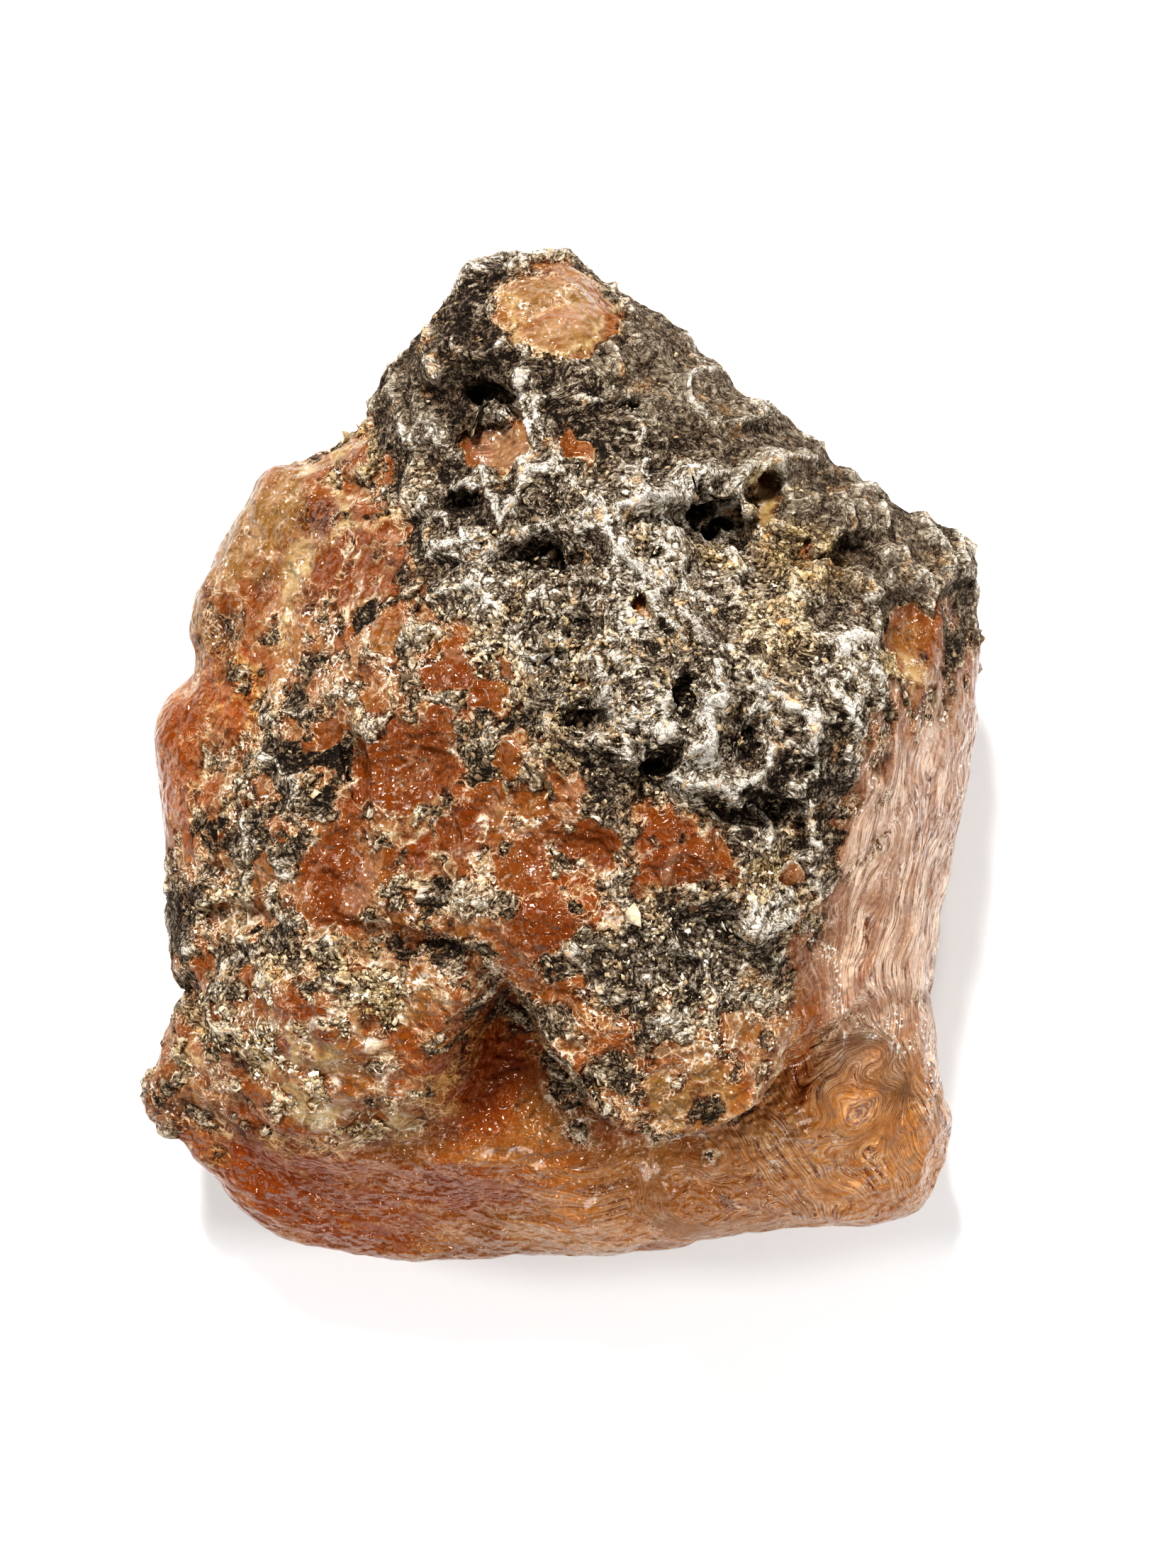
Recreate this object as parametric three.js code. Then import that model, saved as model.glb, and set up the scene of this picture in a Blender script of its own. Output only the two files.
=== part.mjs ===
// Raw copal: one lump of young tree resin, lying on its flattest side.
//
// Millimetres, +Z up. The origin is the middle of the base, +Y runs along the lump's
// length, and the weathered, crusted side faces up.
//
// The lump is one closed skin. Meridians run from a crown point inside the outline, over
// the top, round the rim and under to the base. Its height is a smooth blend of spot
// heights, cut by one broken face and by the step under the nose. Crests stand on that,
// hollows are sunk in it, and a lumpy relief is laid over all of it.
import * as THREE from 'three';

// ---- Driving sizes -------------------------------------------------------------------

const CROWN_POINT = [0, 0.5]; // where all the meridians start, seen in plan
const MERIDIANS = 108; // strips round the lump
const TOP_ROWS = 34; // rows from the crown point to the rim
const UNDER_ROWS = 9; // rows from the rim to the edge of the base
const WALK_STEPS = 160; // fine steps used to space the rows along a meridian

const BASE_SHARE = 0.56; // flat base, as a share of the way from the middle to the rim
const RIM_ROUNDING = 12; // a higher number turns over the rim more tightly
const EVEN_SPACING = 0.6; // 0 spaces the rows by plan, 1 by length along the skin

const SPOT_REACH = 2.9; // how far one spot height carries
const STEP_WIDTH = 0.7; // half the width of the cliff under the nose
const FACE_BLEND = 0.7; // rounding where the broken face meets the crust

const LUMP_SIZE = 5.2; // spacing of the lumps in the relief
const LUMP_DEPTH = 0.8;
const KNOB_SIZE = 2.3; // spacing of the small knobs in the relief
const KNOB_DEPTH = 0.55;
const SMOOTH_RELIEF = 0.35; // share of the relief left on bare resin
const RELIEF_START = 0.4; // the relief grows in between these heights above the base
const RELIEF_FULL = 4;

// ---- Outline: the widest line round the lump, [x, y, height], clockwise from the tip ---

const RIM = [
  // tip and the long north-east shoulder
  [-1.7, 34.6, 17], [0.5, 34.2, 17], [3.6, 31.7, 17], [7.5, 29.1, 17], [9.1, 26.9, 17],
  [13.5, 23.4, 17], [18, 20.4, 17], [22.5, 17.5, 16], [25.7, 15.8, 15], [27.8, 14.3, 14],
  // east side
  [28.5, 10, 13], [28.7, 5.1, 13], [28.2, -0.3, 13], [27.3, -5.7, 12], [26.6, -10.7, 11],
  [25.9, -15.6, 11], [26.2, -19.7, 10], [27.1, -23.7, 9], [27.3, -26.3, 9],
  // south-east corner and the long south side
  [26.2, -29.8, 8], [23.7, -31.9, 8], [18.5, -32.4, 8], [12.4, -33.1, 8], [5.4, -34.4, 8],
  [-1.6, -34.6, 8], [-8.6, -35, 8], [-14.6, -34.4, 8], [-20.3, -32.9, 9], [-23.5, -30.1, 10],
  // south-west spur and the notch above it
  [-25.9, -26, 12], [-28.7, -24.3, 13], [-28.5, -21.4, 13], [-27.1, -18, 12], [-26.1, -15.9, 11],
  // west side
  [-26.8, -13.1, 12], [-27, -8.6, 13], [-27.5, -3.3, 13], [-28.1, 1.2, 13], [-27.6, 4.1, 13],
  [-25.7, 6.3, 12], [-25.5, 10, 12], [-24.7, 13, 12], [-22.9, 16.2, 12], [-20.6, 19.9, 12],
  // north-west lobe, the small ledge and the flank up to the tip
  [-17.3, 21.2, 12], [-13.7, 23, 14], [-12.7, 25.1, 16], [-10.3, 28.1, 17], [-7.2, 31.4, 17],
  [-6.2, 33.5, 17], [-4.1, 34.2, 17],
];

// ---- Spot heights, [x, y, height] ------------------------------------------------------

const TIP = [
  [-1.6, 32.5, 24], [-4.6, 31.2, 25], [0.1, 29.3, 28], [3.3, 29.2, 26], [-2.4, 25.4, 30],
  [-6.8, 28.1, 27], [-9.2, 25, 24.5], [-5.9, 23.6, 26], [-11.3, 21.6, 21], [-6.8, 19.9, 26],
  [-4.1, 21.3, 26.5], [1.5, 23.2, 29.5],
];
const SHOULDER = [
  [6.6, 26.5, 25], [7.4, 21.6, 27.5], [12.6, 22.4, 25], [11.5, 18.3, 28.5], [17.1, 17.6, 26],
  [22, 15, 24], [10.2, 15.2, 27], [15.2, 13.3, 28], [19.7, 10.5, 29], [25.4, 10.9, 22],
  [24.3, 6.2, 24],
];
const CREST = [
  [1.5, 16.2, 32], [-4, 15.9, 30], [-8.2, 15.7, 27.5], [-0.8, 12.3, 30], [5.1, 12.6, 32.5],
  [10, 9.5, 32], [14.9, 8.1, 32], [19.5, 5.5, 31], [3.3, 8.1, 33.5], [-3, 8.2, 30.5],
  [-6.7, 10.6, 28.5], [7.7, 5.4, 34.5], [12.1, 3.1, 35], [16.6, 3.2, 34], [19.9, 1.9, 31.5],
  [2.4, 2.7, 34], [6.4, -0.4, 33.5], [11.2, -1.3, 34], [16.2, -1.7, 33], [-2.1, 1.9, 32],
  [-6.7, 4.6, 29.5],
];
const WEST_FLANK = [
  [-11.6, 15, 24], [-15.6, 18.1, 21], [-18.6, 17.8, 19], [-20.6, 14.5, 18], [-14.4, 10.8, 24],
  [-18.4, 9.6, 21], [-22, 8.8, 18], [-11.4, 6.5, 27], [-17.2, 4.8, 24], [-22.4, 3.5, 19],
  [-25.3, 1.1, 17], [-19.1, -1.3, 23.5], [-22.8, -2.2, 20], [-9.5, -0.4, 28.5],
  [-14.6, -3.6, 26.5], [-19.6, -6.9, 23], [-24, -7.5, 19.5], [-14.2, -8.7, 26],
  [-10.4, -6.8, 28], [-23.3, -12.3, 19], [-18.1, -12.9, 24], [-13.3, -14.2, 26.5],
  [-8.6, -13.7, 27.5], [-4.9, -9, 29.5],
];
const NOSE = [
  [-1.2, -4.4, 31.5], [3.7, -5.3, 32.5], [8.6, -6.2, 33], [13.6, -7.1, 32], [0.1, -11.2, 31.5],
  [5.1, -11.6, 32.5], [10.4, -11.6, 32], [1.9, -16.1, 31], [6.9, -16.6, 31.5], [11, -16.6, 30.5],
  [4.2, -21.7, 29], [8.8, -22.3, 28.5],
];
const SOUTH_WEST_MOUND = [
  [-8.8, -18.5, 24], [-13.4, -19.4, 25], [-18.1, -18.5, 24], [-22.2, -18.8, 21],
  [-26.1, -20.1, 16.5], [-26.8, -23.2, 14.5], [-22.4, -22.7, 19], [-17.5, -24, 20.5],
  [-11.8, -24, 21], [-5.4, -15.6, 26.5],
];
const EAST_SIDE = [
  [20.1, -1.3, 29], [25.7, 1.6, 20], [24.2, -3.2, 20.5], [18.4, -6.8, 28], [22.8, -8.9, 20.5],
  [16.1, -12.2, 28], [19.7, -13, 23.5], [23.5, -14.2, 18], [15.3, -16.5, 26], [18.9, -16.8, 22],
];
const UPPER_SPOTS = [
  ...TIP, ...SHOULDER, ...CREST, ...WEST_FLANK, ...NOSE, ...SOUTH_WEST_MOUND, ...EAST_SIDE,
];

// The lower ledge runs along the south side, in front of the nose.
const LEDGE_SPOTS = [
  [-25, -26.2, 13.5], [-21.4, -28.1, 14.5], [-17.8, -31.4, 11.5], [-16.3, -27.2, 17.5],
  [-11.4, -32, 11], [-11, -26.6, 18.5], [-7.1, -23.2, 19], [-4.8, -19.9, 18.5],
  [-3.5, -16.5, 20], [-1.9, -21.9, 18], [-4.3, -26.6, 18.5], [-4.5, -31.8, 12],
  [0.5, -26.2, 18], [3.4, -29.4, 15.5], [8.3, -31.2, 13], [8.2, -27.8, 17], [14.1, -30, 14.5],
  [12.9, -25.7, 18], [15.8, -20.8, 19], [18.4, -18.7, 21.5], [18.1, -24.5, 20],
  [22.2, -26.9, 16.5], [23.5, -20.9, 18], [20, -30.1, 13.5], [25.4, -25.3, 13], [24, -16.7, 17.5],
];

// The lip of the mound and of the nose, from west to east. South of it lies the ledge.
const LIP = [
  [-31.2, -24.7], [-23.3, -24.8], [-19.3, -25.6], [-15.6, -25.7], [-10.8, -24.9], [-7.9, -22.8],
  [-6.2, -19.3], [-4.5, -16], [-3.3, -14.5], [-2.1, -16.1], [-1, -18.8], [0.6, -20.4],
  [2.4, -22.7], [4.7, -24], [7.4, -24.6], [10.1, -23.9], [12.4, -22.5], [13.8, -20.7],
  [15, -19], [16.8, -17.9], [19.3, -16.8], [22.3, -16], [30, -15.6],
];
const NORTH_OF_LIP = [[40, 60], [-40, 60]]; // closes the lip into the area above it

// The broken east face, a plane through a point with a slope along each axis.
const EAST_FACE = { at: [19.5, -3, 30], slopeX: -1.6, slopeY: 0.25 };

// ---- Crests and hollows ----------------------------------------------------------------

const CRESTS = [
  { name: 'tip spine', height: 1.3, width: 1.4, line: [[-2.4, 26.3], [-2.2, 23.6], [-1.9, 19.3]] },
  {
    name: 'white spine', height: 1.8, width: 1.3,
    line: [[-2.9, 17.1], [-1.3, 18.7], [0.6, 18.1], [3.3, 15], [3.9, 13.2], [5.3, 11.2], [7.7, 7.9]],
  },
  {
    name: 'long crest', height: 1.6, width: 1.2,
    line: [[7.5, 9.8], [9.5, 7.8], [11.5, 6.4], [12.9, 4.7], [15.8, 2.9], [16.1, -0.2], [15.4, -1.4]],
  },
  { name: 'inner crest', height: 0.9, width: 0.8, line: [[12, 4.7], [13.2, 3.1], [15, 0.9]] },
  {
    name: 'cross crest', height: 2.2, width: 1.3,
    line: [[3.8, 16.2], [6.8, 17], [9, 18.8], [9.9, 17.4], [11.3, 16.9], [12.8, 19.2], [14.3, 19.4]],
  },
  {
    name: 'splinter crest', height: 1.2, width: 0.7,
    line: [[6.2, 15.7], [7.1, 13.9], [8.1, 10.7], [10, 10.3], [11.8, 9.6]],
  },
  {
    name: 'west arch', height: 1.4, width: 0.9,
    line: [[-7.3, 17.4], [-6.2, 18.3], [-4.8, 17.8], [-3.9, 16.8], [-3.8, 15.3], [-1.9, 17.6]],
  },
  {
    name: 'forked crest', height: 1.5, width: 1.1,
    line: [[-1, 10.3], [-0.1, 8.3], [0.7, 6.9], [2.5, 6.4], [3.3, 3.5], [4.4, 0.9], [4.7, -0.3]],
  },
  {
    name: 'small cell rim', height: 1.5, width: 0.8,
    line: [[-0.5, 2.5], [0.1, 1.3], [0.9, 0.9], [2, 1.2], [3.3, 1.8]],
  },
  {
    name: 'shelf crest', height: 1.8, width: 1.2,
    line: [[3.3, 3.5], [4.3, 2.5], [5.3, 2.9], [6.4, 3.7], [7.1, 1.7]],
  },
  {
    name: 'great cell rim', height: 2.2, width: 0.9,
    line: [
      [10, 6], [10.1, 4.4], [9.5, 3.3], [9.4, 1.8], [7.9, 0.2], [7.7, -0.8], [8.4, -1.5],
      [9.9, -1.4], [10.8, -1.8], [12.7, -0.5], [13.2, 0.5], [13.8, 1],
    ],
  },
  { name: 'hook', height: 1.2, width: 0.8, line: [[17, 5.1], [17.8, 4.1], [18, 3], [18.7, 2.5]] },
  {
    name: 'shoulder crest', height: 1.2, width: 1,
    line: [[16.3, 5.7], [18.1, 6.7], [19.3, 6.7], [20.5, 5.4], [22, 4.1]],
  },
  {
    name: 'west wrinkle', height: 0.9, width: 0.9,
    line: [[-9, 10.5], [-7.2, 11.4], [-5.4, 11.6], [-4.4, 10.5], [-3, 8.9]],
  },
  { name: 'tan rim', height: 1, width: 0.9, line: [[-9, 12.9], [-7.6, 14], [-4.5, 14.6]] },
  { name: 'nose seam', height: 0.9, width: 0.9, line: [[-2.3, -9.8], [0.1, -9.3], [5.3, -10.6]] },
  { name: 'red fold', height: 1.2, width: 0.9, line: [[5.9, -6], [7.7, -5.6], [10.8, -6.7]] },
];

// size is the half length and half width, turn is in degrees from +X towards +Y.
const HOLLOWS = [
  { name: 'cave under the cross crest', at: [9.8, 16], size: [2.8, 1.4], turn: 8, depth: 3.6 },
  { name: 'cave on the tip', at: [-4.3, 23.7], size: [1.7, 0.9], turn: -12, depth: 3.2 },
  { name: 'centre hollow', at: [-0.7, 12.7], size: [2.6, 1.5], turn: 0, depth: 3 },
  { name: 'arch hollow', at: [-5.6, 17], size: [1.6, 0.8], turn: 15, depth: 2 },
  { name: 'pocket under the fork', at: [0.6, 8.9], size: [1.3, 1.5], turn: 0, depth: 1.6 },
  { name: 'west pocket', at: [-0.8, 6.5], size: [1.4, 0.7], turn: 15, depth: 1.6 },
  { name: 'middle cell', at: [8, 4], size: [1.3, 1.5], turn: 0, depth: 2.2 },
  { name: 'great cell', at: [11.2, 1.5], size: [1.6, 2], turn: -10, depth: 2.2 },
  { name: 'cave under the great cell', at: [12.2, -2.7], size: [3.2, 1.2], turn: -8, depth: 2.6 },
  { name: 'south-west cave', at: [5.8, -0.9], size: [2.3, 1.8], turn: 0, depth: 2.6 },
  { name: 'small cell', at: [1.8, 2.9], size: [1.5, 1.1], turn: 15, depth: 1.8 },
  { name: 'tan niche', at: [13.3, 17.8], size: [1.2, 1.9], turn: 0, depth: 1.8 },
  { name: 'crumbly dip', at: [4.2, 22.7], size: [1.6, 1.2], turn: 0, depth: 1.4 },
  { name: 'amber pit', at: [22.5, 8.3], size: [1.9, 2.2], turn: 0, depth: 1.8 },
  { name: 'smooth dish', at: [-4.9, 21.2], size: [2, 1.9], turn: 0, depth: 1.6 },
  { name: 'brown pit', at: [-14.3, 18.4], size: [1.6, 1.1], turn: -20, depth: 1.2 },
  { name: 'edge pit', at: [-22.8, 9.2], size: [1.2, 1.5], turn: 0, depth: 1.6 },
  { name: 'window moat', at: [-13.4, -0.1], size: [0.6, 2.6], turn: 15, depth: 1.4 },
  { name: 'main window', at: [-9.6, -0.7], size: [2.8, 2.1], turn: 12, depth: 0.7 },
  { name: 'lower window', at: [-14.7, -6.6], size: [2.4, 3], turn: -8, depth: 0.9 },
  { name: 'shoulder dip', at: [17.9, 13.3], size: [2.3, 1.3], turn: 20, depth: 1.4 },
  { name: 'nose dip', at: [9.1, -12], size: [2.3, 2.2], turn: 0, depth: 1.2 },
  { name: 'olive hollow', at: [-24.9, -16.7], size: [1, 2.5], turn: 8, depth: 2.2 },
  { name: 'west gully', at: [-21.8, -10.3], size: [2.8, 0.8], turn: 0, depth: 1.4 },
  { name: 'middle gully', at: [-10.5, -11.4], size: [4.1, 0.6], turn: -10, depth: 1.2 },
  { name: 'red basin', at: [0.6, -6], size: [3.6, 1.5], turn: 0, depth: 1 },
];

// Bare resin, where the relief is smoother: middle and half sizes of each area.
const SMOOTH_AREAS = [
  { at: [0, 29.3], size: [3.6, 3.2] },
  { at: [-17, 13], size: [6, 6] },
  { at: [-26, 0], size: [4, 9] },
  { at: [-9.6, -0.7], size: [3.6, 3] },
  { at: [26, -8], size: [7, 13] },
  { at: [10, -31], size: [20, 8] },
  { at: [-12, -32], size: [16, 6] },
  { at: [-4.2, -21], size: [4.2, 5.4] },
];

// ---- Small maths -----------------------------------------------------------------------

const lerp = THREE.MathUtils.lerp;
const smoothstep = (from, to, x) => THREE.MathUtils.smoothstep(x, from, to);

/** A repeatable number from 0 to 1 for a lattice corner. */
function cornerValue(i, j, k) {
  const wave = Math.sin(i * 127.1 + j * 311.7 + k * 74.7) * 43758.5453;
  return wave - Math.floor(wave);
}

/** Smooth noise from -1 to 1: corner values of a unit lattice, blended. */
function noise(x, y, z) {
  const cell = [Math.floor(x), Math.floor(y), Math.floor(z)];
  const part = [x - cell[0], y - cell[1], z - cell[2]].map((t) => t * t * (3 - 2 * t));
  let sum = 0;
  for (const a of [0, 1]) {
    for (const b of [0, 1]) {
      for (const c of [0, 1]) {
        const share = (a ? part[0] : 1 - part[0]) * (b ? part[1] : 1 - part[1]);
        const depthShare = c ? part[2] : 1 - part[2];
        sum += share * depthShare * cornerValue(cell[0] + a, cell[1] + b, cell[2] + c);
      }
    }
  }
  return 2 * sum - 1;
}

/** The lower of two heights, rounded where they meet. */
function roundedMin(a, b, radius) {
  const share = THREE.MathUtils.clamp(0.5 + (0.5 * (b - a)) / radius, 0, 1);
  return lerp(b, a, share) - radius * share * (1 - share);
}

/** Shortest distance in plan from a point to an open line. */
function lineDistance(line, x, y) {
  let nearest = Infinity;
  for (let i = 1; i < line.length; i++) {
    const [ax, ay] = line[i - 1];
    const [dx, dy] = [line[i][0] - ax, line[i][1] - ay];
    const along = ((x - ax) * dx + (y - ay) * dy) / (dx * dx + dy * dy);
    const t = THREE.MathUtils.clamp(along, 0, 1);
    nearest = Math.min(nearest, Math.hypot(x - ax - t * dx, y - ay - t * dy));
  }
  return nearest;
}

/** Whether a point lies inside a closed outline, by counting crossings. */
function isInside(outline, x, y) {
  let inside = false;
  outline.forEach(([bx, by], i) => {
    const [ax, ay] = outline[(i + outline.length - 1) % outline.length];
    const crosses = ay > y !== by > y && x < ax + ((bx - ax) * (y - ay)) / (by - ay);
    if (crosses) inside = !inside;
  });
  return inside;
}

/** Elliptical distance from the middle of an area, 1 on its edge. */
function areaRadius({ at, size, turn = 0 }, x, y) {
  const angle = THREE.MathUtils.degToRad(turn);
  const [dx, dy] = [x - at[0], y - at[1]];
  const along = (dx * Math.cos(angle) + dy * Math.sin(angle)) / size[0];
  const across = (dy * Math.cos(angle) - dx * Math.sin(angle)) / size[1];
  return Math.hypot(along, across);
}

// ---- The height of the top -------------------------------------------------------------

/** The mean of the spot heights, each weighted by a bell curve of its distance. */
function spotHeight(spots, x, y) {
  let [sum, weights] = [0, 0];
  for (const [sx, sy, height] of spots) {
    const far = ((x - sx) ** 2 + (y - sy) ** 2) / (2 * SPOT_REACH ** 2);
    const weight = Math.exp(-far) + 1e-9 / (1 + far);
    sum += weight * height;
    weights += weight;
  }
  return sum / weights;
}

/** The tallest crest at a point: each is a bell curve across its line. */
function crestHeight(x, y) {
  const lift = ({ height, width, line }) => height * Math.exp(-((lineDistance(line, x, y) / width) ** 2));
  return Math.max(...CRESTS.map(lift));
}

/** The hollows at a point, added up: each has a flat floor and steep walls. */
function hollowDepth(x, y) {
  return HOLLOWS.reduce((sum, hollow) => sum + hollow.depth * Math.exp(-(areaRadius(hollow, x, y) ** 4)), 0);
}

function topHeight(x, y) {
  const side = isInside([...LIP, ...NORTH_OF_LIP], x, y) ? 1 : -1;
  const aboveLip = smoothstep(-STEP_WIDTH, STEP_WIDTH, side * lineDistance(LIP, x, y));
  const form = lerp(spotHeight(LEDGE_SPOTS, x, y), spotHeight(UPPER_SPOTS, x, y), aboveLip);
  const { at, slopeX, slopeY } = EAST_FACE;
  const face = at[2] + slopeX * (x - at[0]) + slopeY * (y - at[1]);
  return roundedMin(form, face, FACE_BLEND) + crestHeight(x, y) - hollowDepth(x, y);
}

// ---- Meridians -------------------------------------------------------------------------

/** A point on the top, at a share of the way from the crown point to a rim point. */
function topPoint(rim, share) {
  const x = lerp(CROWN_POINT[0], rim.x, share);
  const y = lerp(CROWN_POINT[1], rim.y, share);
  const rise = Math.sqrt(1 - share ** RIM_ROUNDING);
  return new THREE.Vector3(x, y, lerp(rim.z, topHeight(x, y), rise));
}

/** A point on the underside: a quarter ellipse from the rim in to the flat base. */
function underPoint(rim, share) {
  const x = lerp(CROWN_POINT[0], rim.x, share);
  const y = lerp(CROWN_POINT[1], rim.y, share);
  const out = Math.max(0, (share - BASE_SHARE) / (1 - BASE_SHARE));
  return new THREE.Vector3(x, y, rim.z * (1 - Math.sqrt(1 - out * out)));
}

/** Rows down the top of one meridian, spaced partly by plan and partly by length. */
function topRows(rim) {
  const walk = Array.from({ length: WALK_STEPS + 1 }, (_, i) => topPoint(rim, i / WALK_STEPS));
  const lengths = [0];
  for (let i = 1; i <= WALK_STEPS; i++) {
    lengths.push(lengths[i - 1] + walk[i].distanceTo(walk[i - 1]));
  }
  const total = lengths[WALK_STEPS];
  const place = lengths.map((length, i) => lerp(i / WALK_STEPS, length / total, EVEN_SPACING));
  const rows = [];
  let step = 1;
  for (let row = 1; row <= TOP_ROWS; row++) {
    const wanted = row / TOP_ROWS;
    while (step < WALK_STEPS && place[step] < wanted) step++;
    const part = (wanted - place[step - 1]) / (place[step] - place[step - 1]);
    rows.push(topPoint(rim, Math.min(1, (step - 1 + part) / WALK_STEPS)));
  }
  return rows;
}

/** Rows under one meridian, evenly turned from the rim to the edge of the base. */
function underRows(rim) {
  return Array.from({ length: UNDER_ROWS }, (_, i) => {
    const turn = ((i + 1) / UNDER_ROWS) * (Math.PI / 2);
    return underPoint(rim, lerp(BASE_SHARE, 1, Math.cos(turn)));
  });
}

// ---- Relief ----------------------------------------------------------------------------

/** Rounded lumps with sharp valleys, and small knobs, from about -1 to 1 times their depth. */
function relief(point) {
  const lumps = noise(point.x / LUMP_SIZE, point.y / LUMP_SIZE, point.z / LUMP_SIZE);
  const knobs = noise(point.x / KNOB_SIZE, point.y / KNOB_SIZE, point.z / KNOB_SIZE);
  return LUMP_DEPTH * lumps + KNOB_DEPTH * (2 * Math.abs(knobs) - 0.6);
}

/** How much of the relief a point keeps: less on bare resin, none at the base. */
function reliefShare(point) {
  const bare = Math.max(...SMOOTH_AREAS.map((area) => 1 - smoothstep(0.7, 1.2, areaRadius(area, point.x, point.y))));
  return lerp(1, SMOOTH_RELIEF, bare) * smoothstep(RELIEF_START, RELIEF_FULL, point.z);
}

// ---- The skin --------------------------------------------------------------------------

/** The outward direction at each grid point, from its neighbours along and across. */
function outwardDirections(grid) {
  const rowCount = grid[0].length;
  return grid.map((meridian, column) => {
    const before = grid[(column + grid.length - 1) % grid.length];
    const after = grid[(column + 1) % grid.length];
    return meridian.map((point, row) => {
      const down = meridian[Math.min(row + 1, rowCount - 1)].clone().sub(meridian[Math.max(row - 1, 0)]);
      return down.cross(after[row].clone().sub(before[row])).normalize().negate();
    });
  });
}

function makeLump() {
  const outline = new THREE.CatmullRomCurve3(RIM.map((p) => new THREE.Vector3(...p)), true, 'catmullrom', 0.5);
  const rims = outline.getSpacedPoints(MERIDIANS).slice(0, MERIDIANS);
  const grid = rims.map((rim) => [...topRows(rim), ...underRows(rim)]);
  const out = outwardDirections(grid);
  grid.forEach((meridian, column) => {
    meridian.forEach((point, row) => {
      point.addScaledVector(out[column][row], relief(point) * reliefShare(point));
    });
  });
  const crown = topPoint(rims[0], 0);
  crown.z += relief(crown);
  return skin(grid, crown, new THREE.Vector3(...CROWN_POINT, 0));
}

/** A closed mesh: a fan at the crown, strips down the meridians and a fan over the base. */
function skin(grid, crown, baseMiddle) {
  const rowCount = grid[0].length;
  const vertices = [...grid.flat(), crown, baseMiddle];
  const [crownIndex, baseIndex] = [vertices.length - 2, vertices.length - 1];
  const triangles = [];
  for (let column = 0; column < MERIDIANS; column++) {
    const here = column * rowCount;
    const next = ((column + 1) % MERIDIANS) * rowCount;
    triangles.push(crownIndex, next, here);
    for (let row = 0; row < rowCount - 1; row++) {
      triangles.push(here + row, next + row, here + row + 1);
      triangles.push(next + row, next + row + 1, here + row + 1);
    }
    triangles.push(baseIndex, here + rowCount - 1, next + rowCount - 1);
  }
  const geometry = new THREE.BufferGeometry();
  geometry.setAttribute('position', new THREE.Float32BufferAttribute(vertices.flatMap((v) => v.toArray()), 3));
  geometry.setIndex(triangles);
  return geometry;
}

/** Moves a shape so that its middle in plan is over the origin and its base is at zero. */
function standOnOrigin(geometry) {
  geometry.computeBoundingBox();
  const { min, max } = geometry.boundingBox;
  return geometry.translate(-(min.x + max.x) / 2, -(min.y + max.y) / 2, -min.z);
}

const resin = new THREE.MeshStandardMaterial({ color: 0xb47c4c, roughness: 0.55, metalness: 0 });
const lump = new THREE.Mesh(standOnOrigin(makeLump()), resin);
lump.name = 'copal_lump';

const copal = new THREE.Group();
copal.add(lump);

export default copal;
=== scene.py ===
"""Raw copal: a palm-sized lump of young tree resin with a weathered crust.

The lump lies on its flattest side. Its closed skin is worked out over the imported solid,
row by row, from an outline, spot heights, folds and hollows, and then a finer relief. Three
open rings of weathered crust, with their crests, lie on it, and loose scales on them.
"""

import bpy
import numpy as np
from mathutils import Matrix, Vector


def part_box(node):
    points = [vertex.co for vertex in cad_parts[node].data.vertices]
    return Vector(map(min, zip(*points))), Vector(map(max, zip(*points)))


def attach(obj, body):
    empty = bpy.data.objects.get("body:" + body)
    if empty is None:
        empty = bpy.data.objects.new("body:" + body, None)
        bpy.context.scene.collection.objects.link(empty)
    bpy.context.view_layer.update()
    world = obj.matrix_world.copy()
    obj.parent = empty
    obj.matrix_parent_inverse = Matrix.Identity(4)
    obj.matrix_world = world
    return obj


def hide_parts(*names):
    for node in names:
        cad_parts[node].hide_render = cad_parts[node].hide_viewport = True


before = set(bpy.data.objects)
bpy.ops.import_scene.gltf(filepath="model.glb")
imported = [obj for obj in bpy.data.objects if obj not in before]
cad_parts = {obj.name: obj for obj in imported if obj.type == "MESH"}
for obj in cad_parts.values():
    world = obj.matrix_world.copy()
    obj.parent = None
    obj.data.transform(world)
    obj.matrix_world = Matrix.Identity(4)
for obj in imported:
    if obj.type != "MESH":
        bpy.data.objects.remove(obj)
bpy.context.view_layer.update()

bl_info = {
    "name": "Raw copal",
    "version": (1, 0, 0),
    "blender": (4, 5, 0),
    "location": "3D View > Sidebar > Copal",
    "description": "Builds a raw copal lump, its crust scales and a plain stage",
    "category": "Object",
}

MM = 0.001
NODE = "copal_lump"
ROOT = "root"

# ---- Form of the lump, in millimetres --------------------------------------------------

CROWN_POINT = (0, 0.5)
WALK_STEPS = 260
OUTLINE_STEPS = 40
OUTLINE_POINTS = 400
BASE_SHARE = 0.56
RIM_ROUNDING = 12
EVEN_SPACING = 0.75
SPOT_REACH = 2.9
# How wide the step at the lip is on either side of it, at places along X.
STEP_PLACES, STEP_WIDTHS = (-4.4, -2.9, 19, 23), (2.6, 0.5, 0.5, 4)
FACE_BLEND = 0.7
LUMP_SIZE, LUMP_DEPTH = 5.2, 0.7
HOLLOW_STEEPNESS = 3
CREST_SHARPNESS = 1.1
SWELL_WIDTH, SWELL_SHARE = 3, 0.4
CREST_WANDER = 0.35
KNOB_SIZE, KNOB_DEPTH = 2.6, 0.3
NET_SIZE, TWIG_SIZE = 4.6, 2.1
# Share of the crust's relief left where the skin is upright.
STEEP_RELIEF = 0.3
SMOOTH_RELIEF = 0.35
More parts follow.
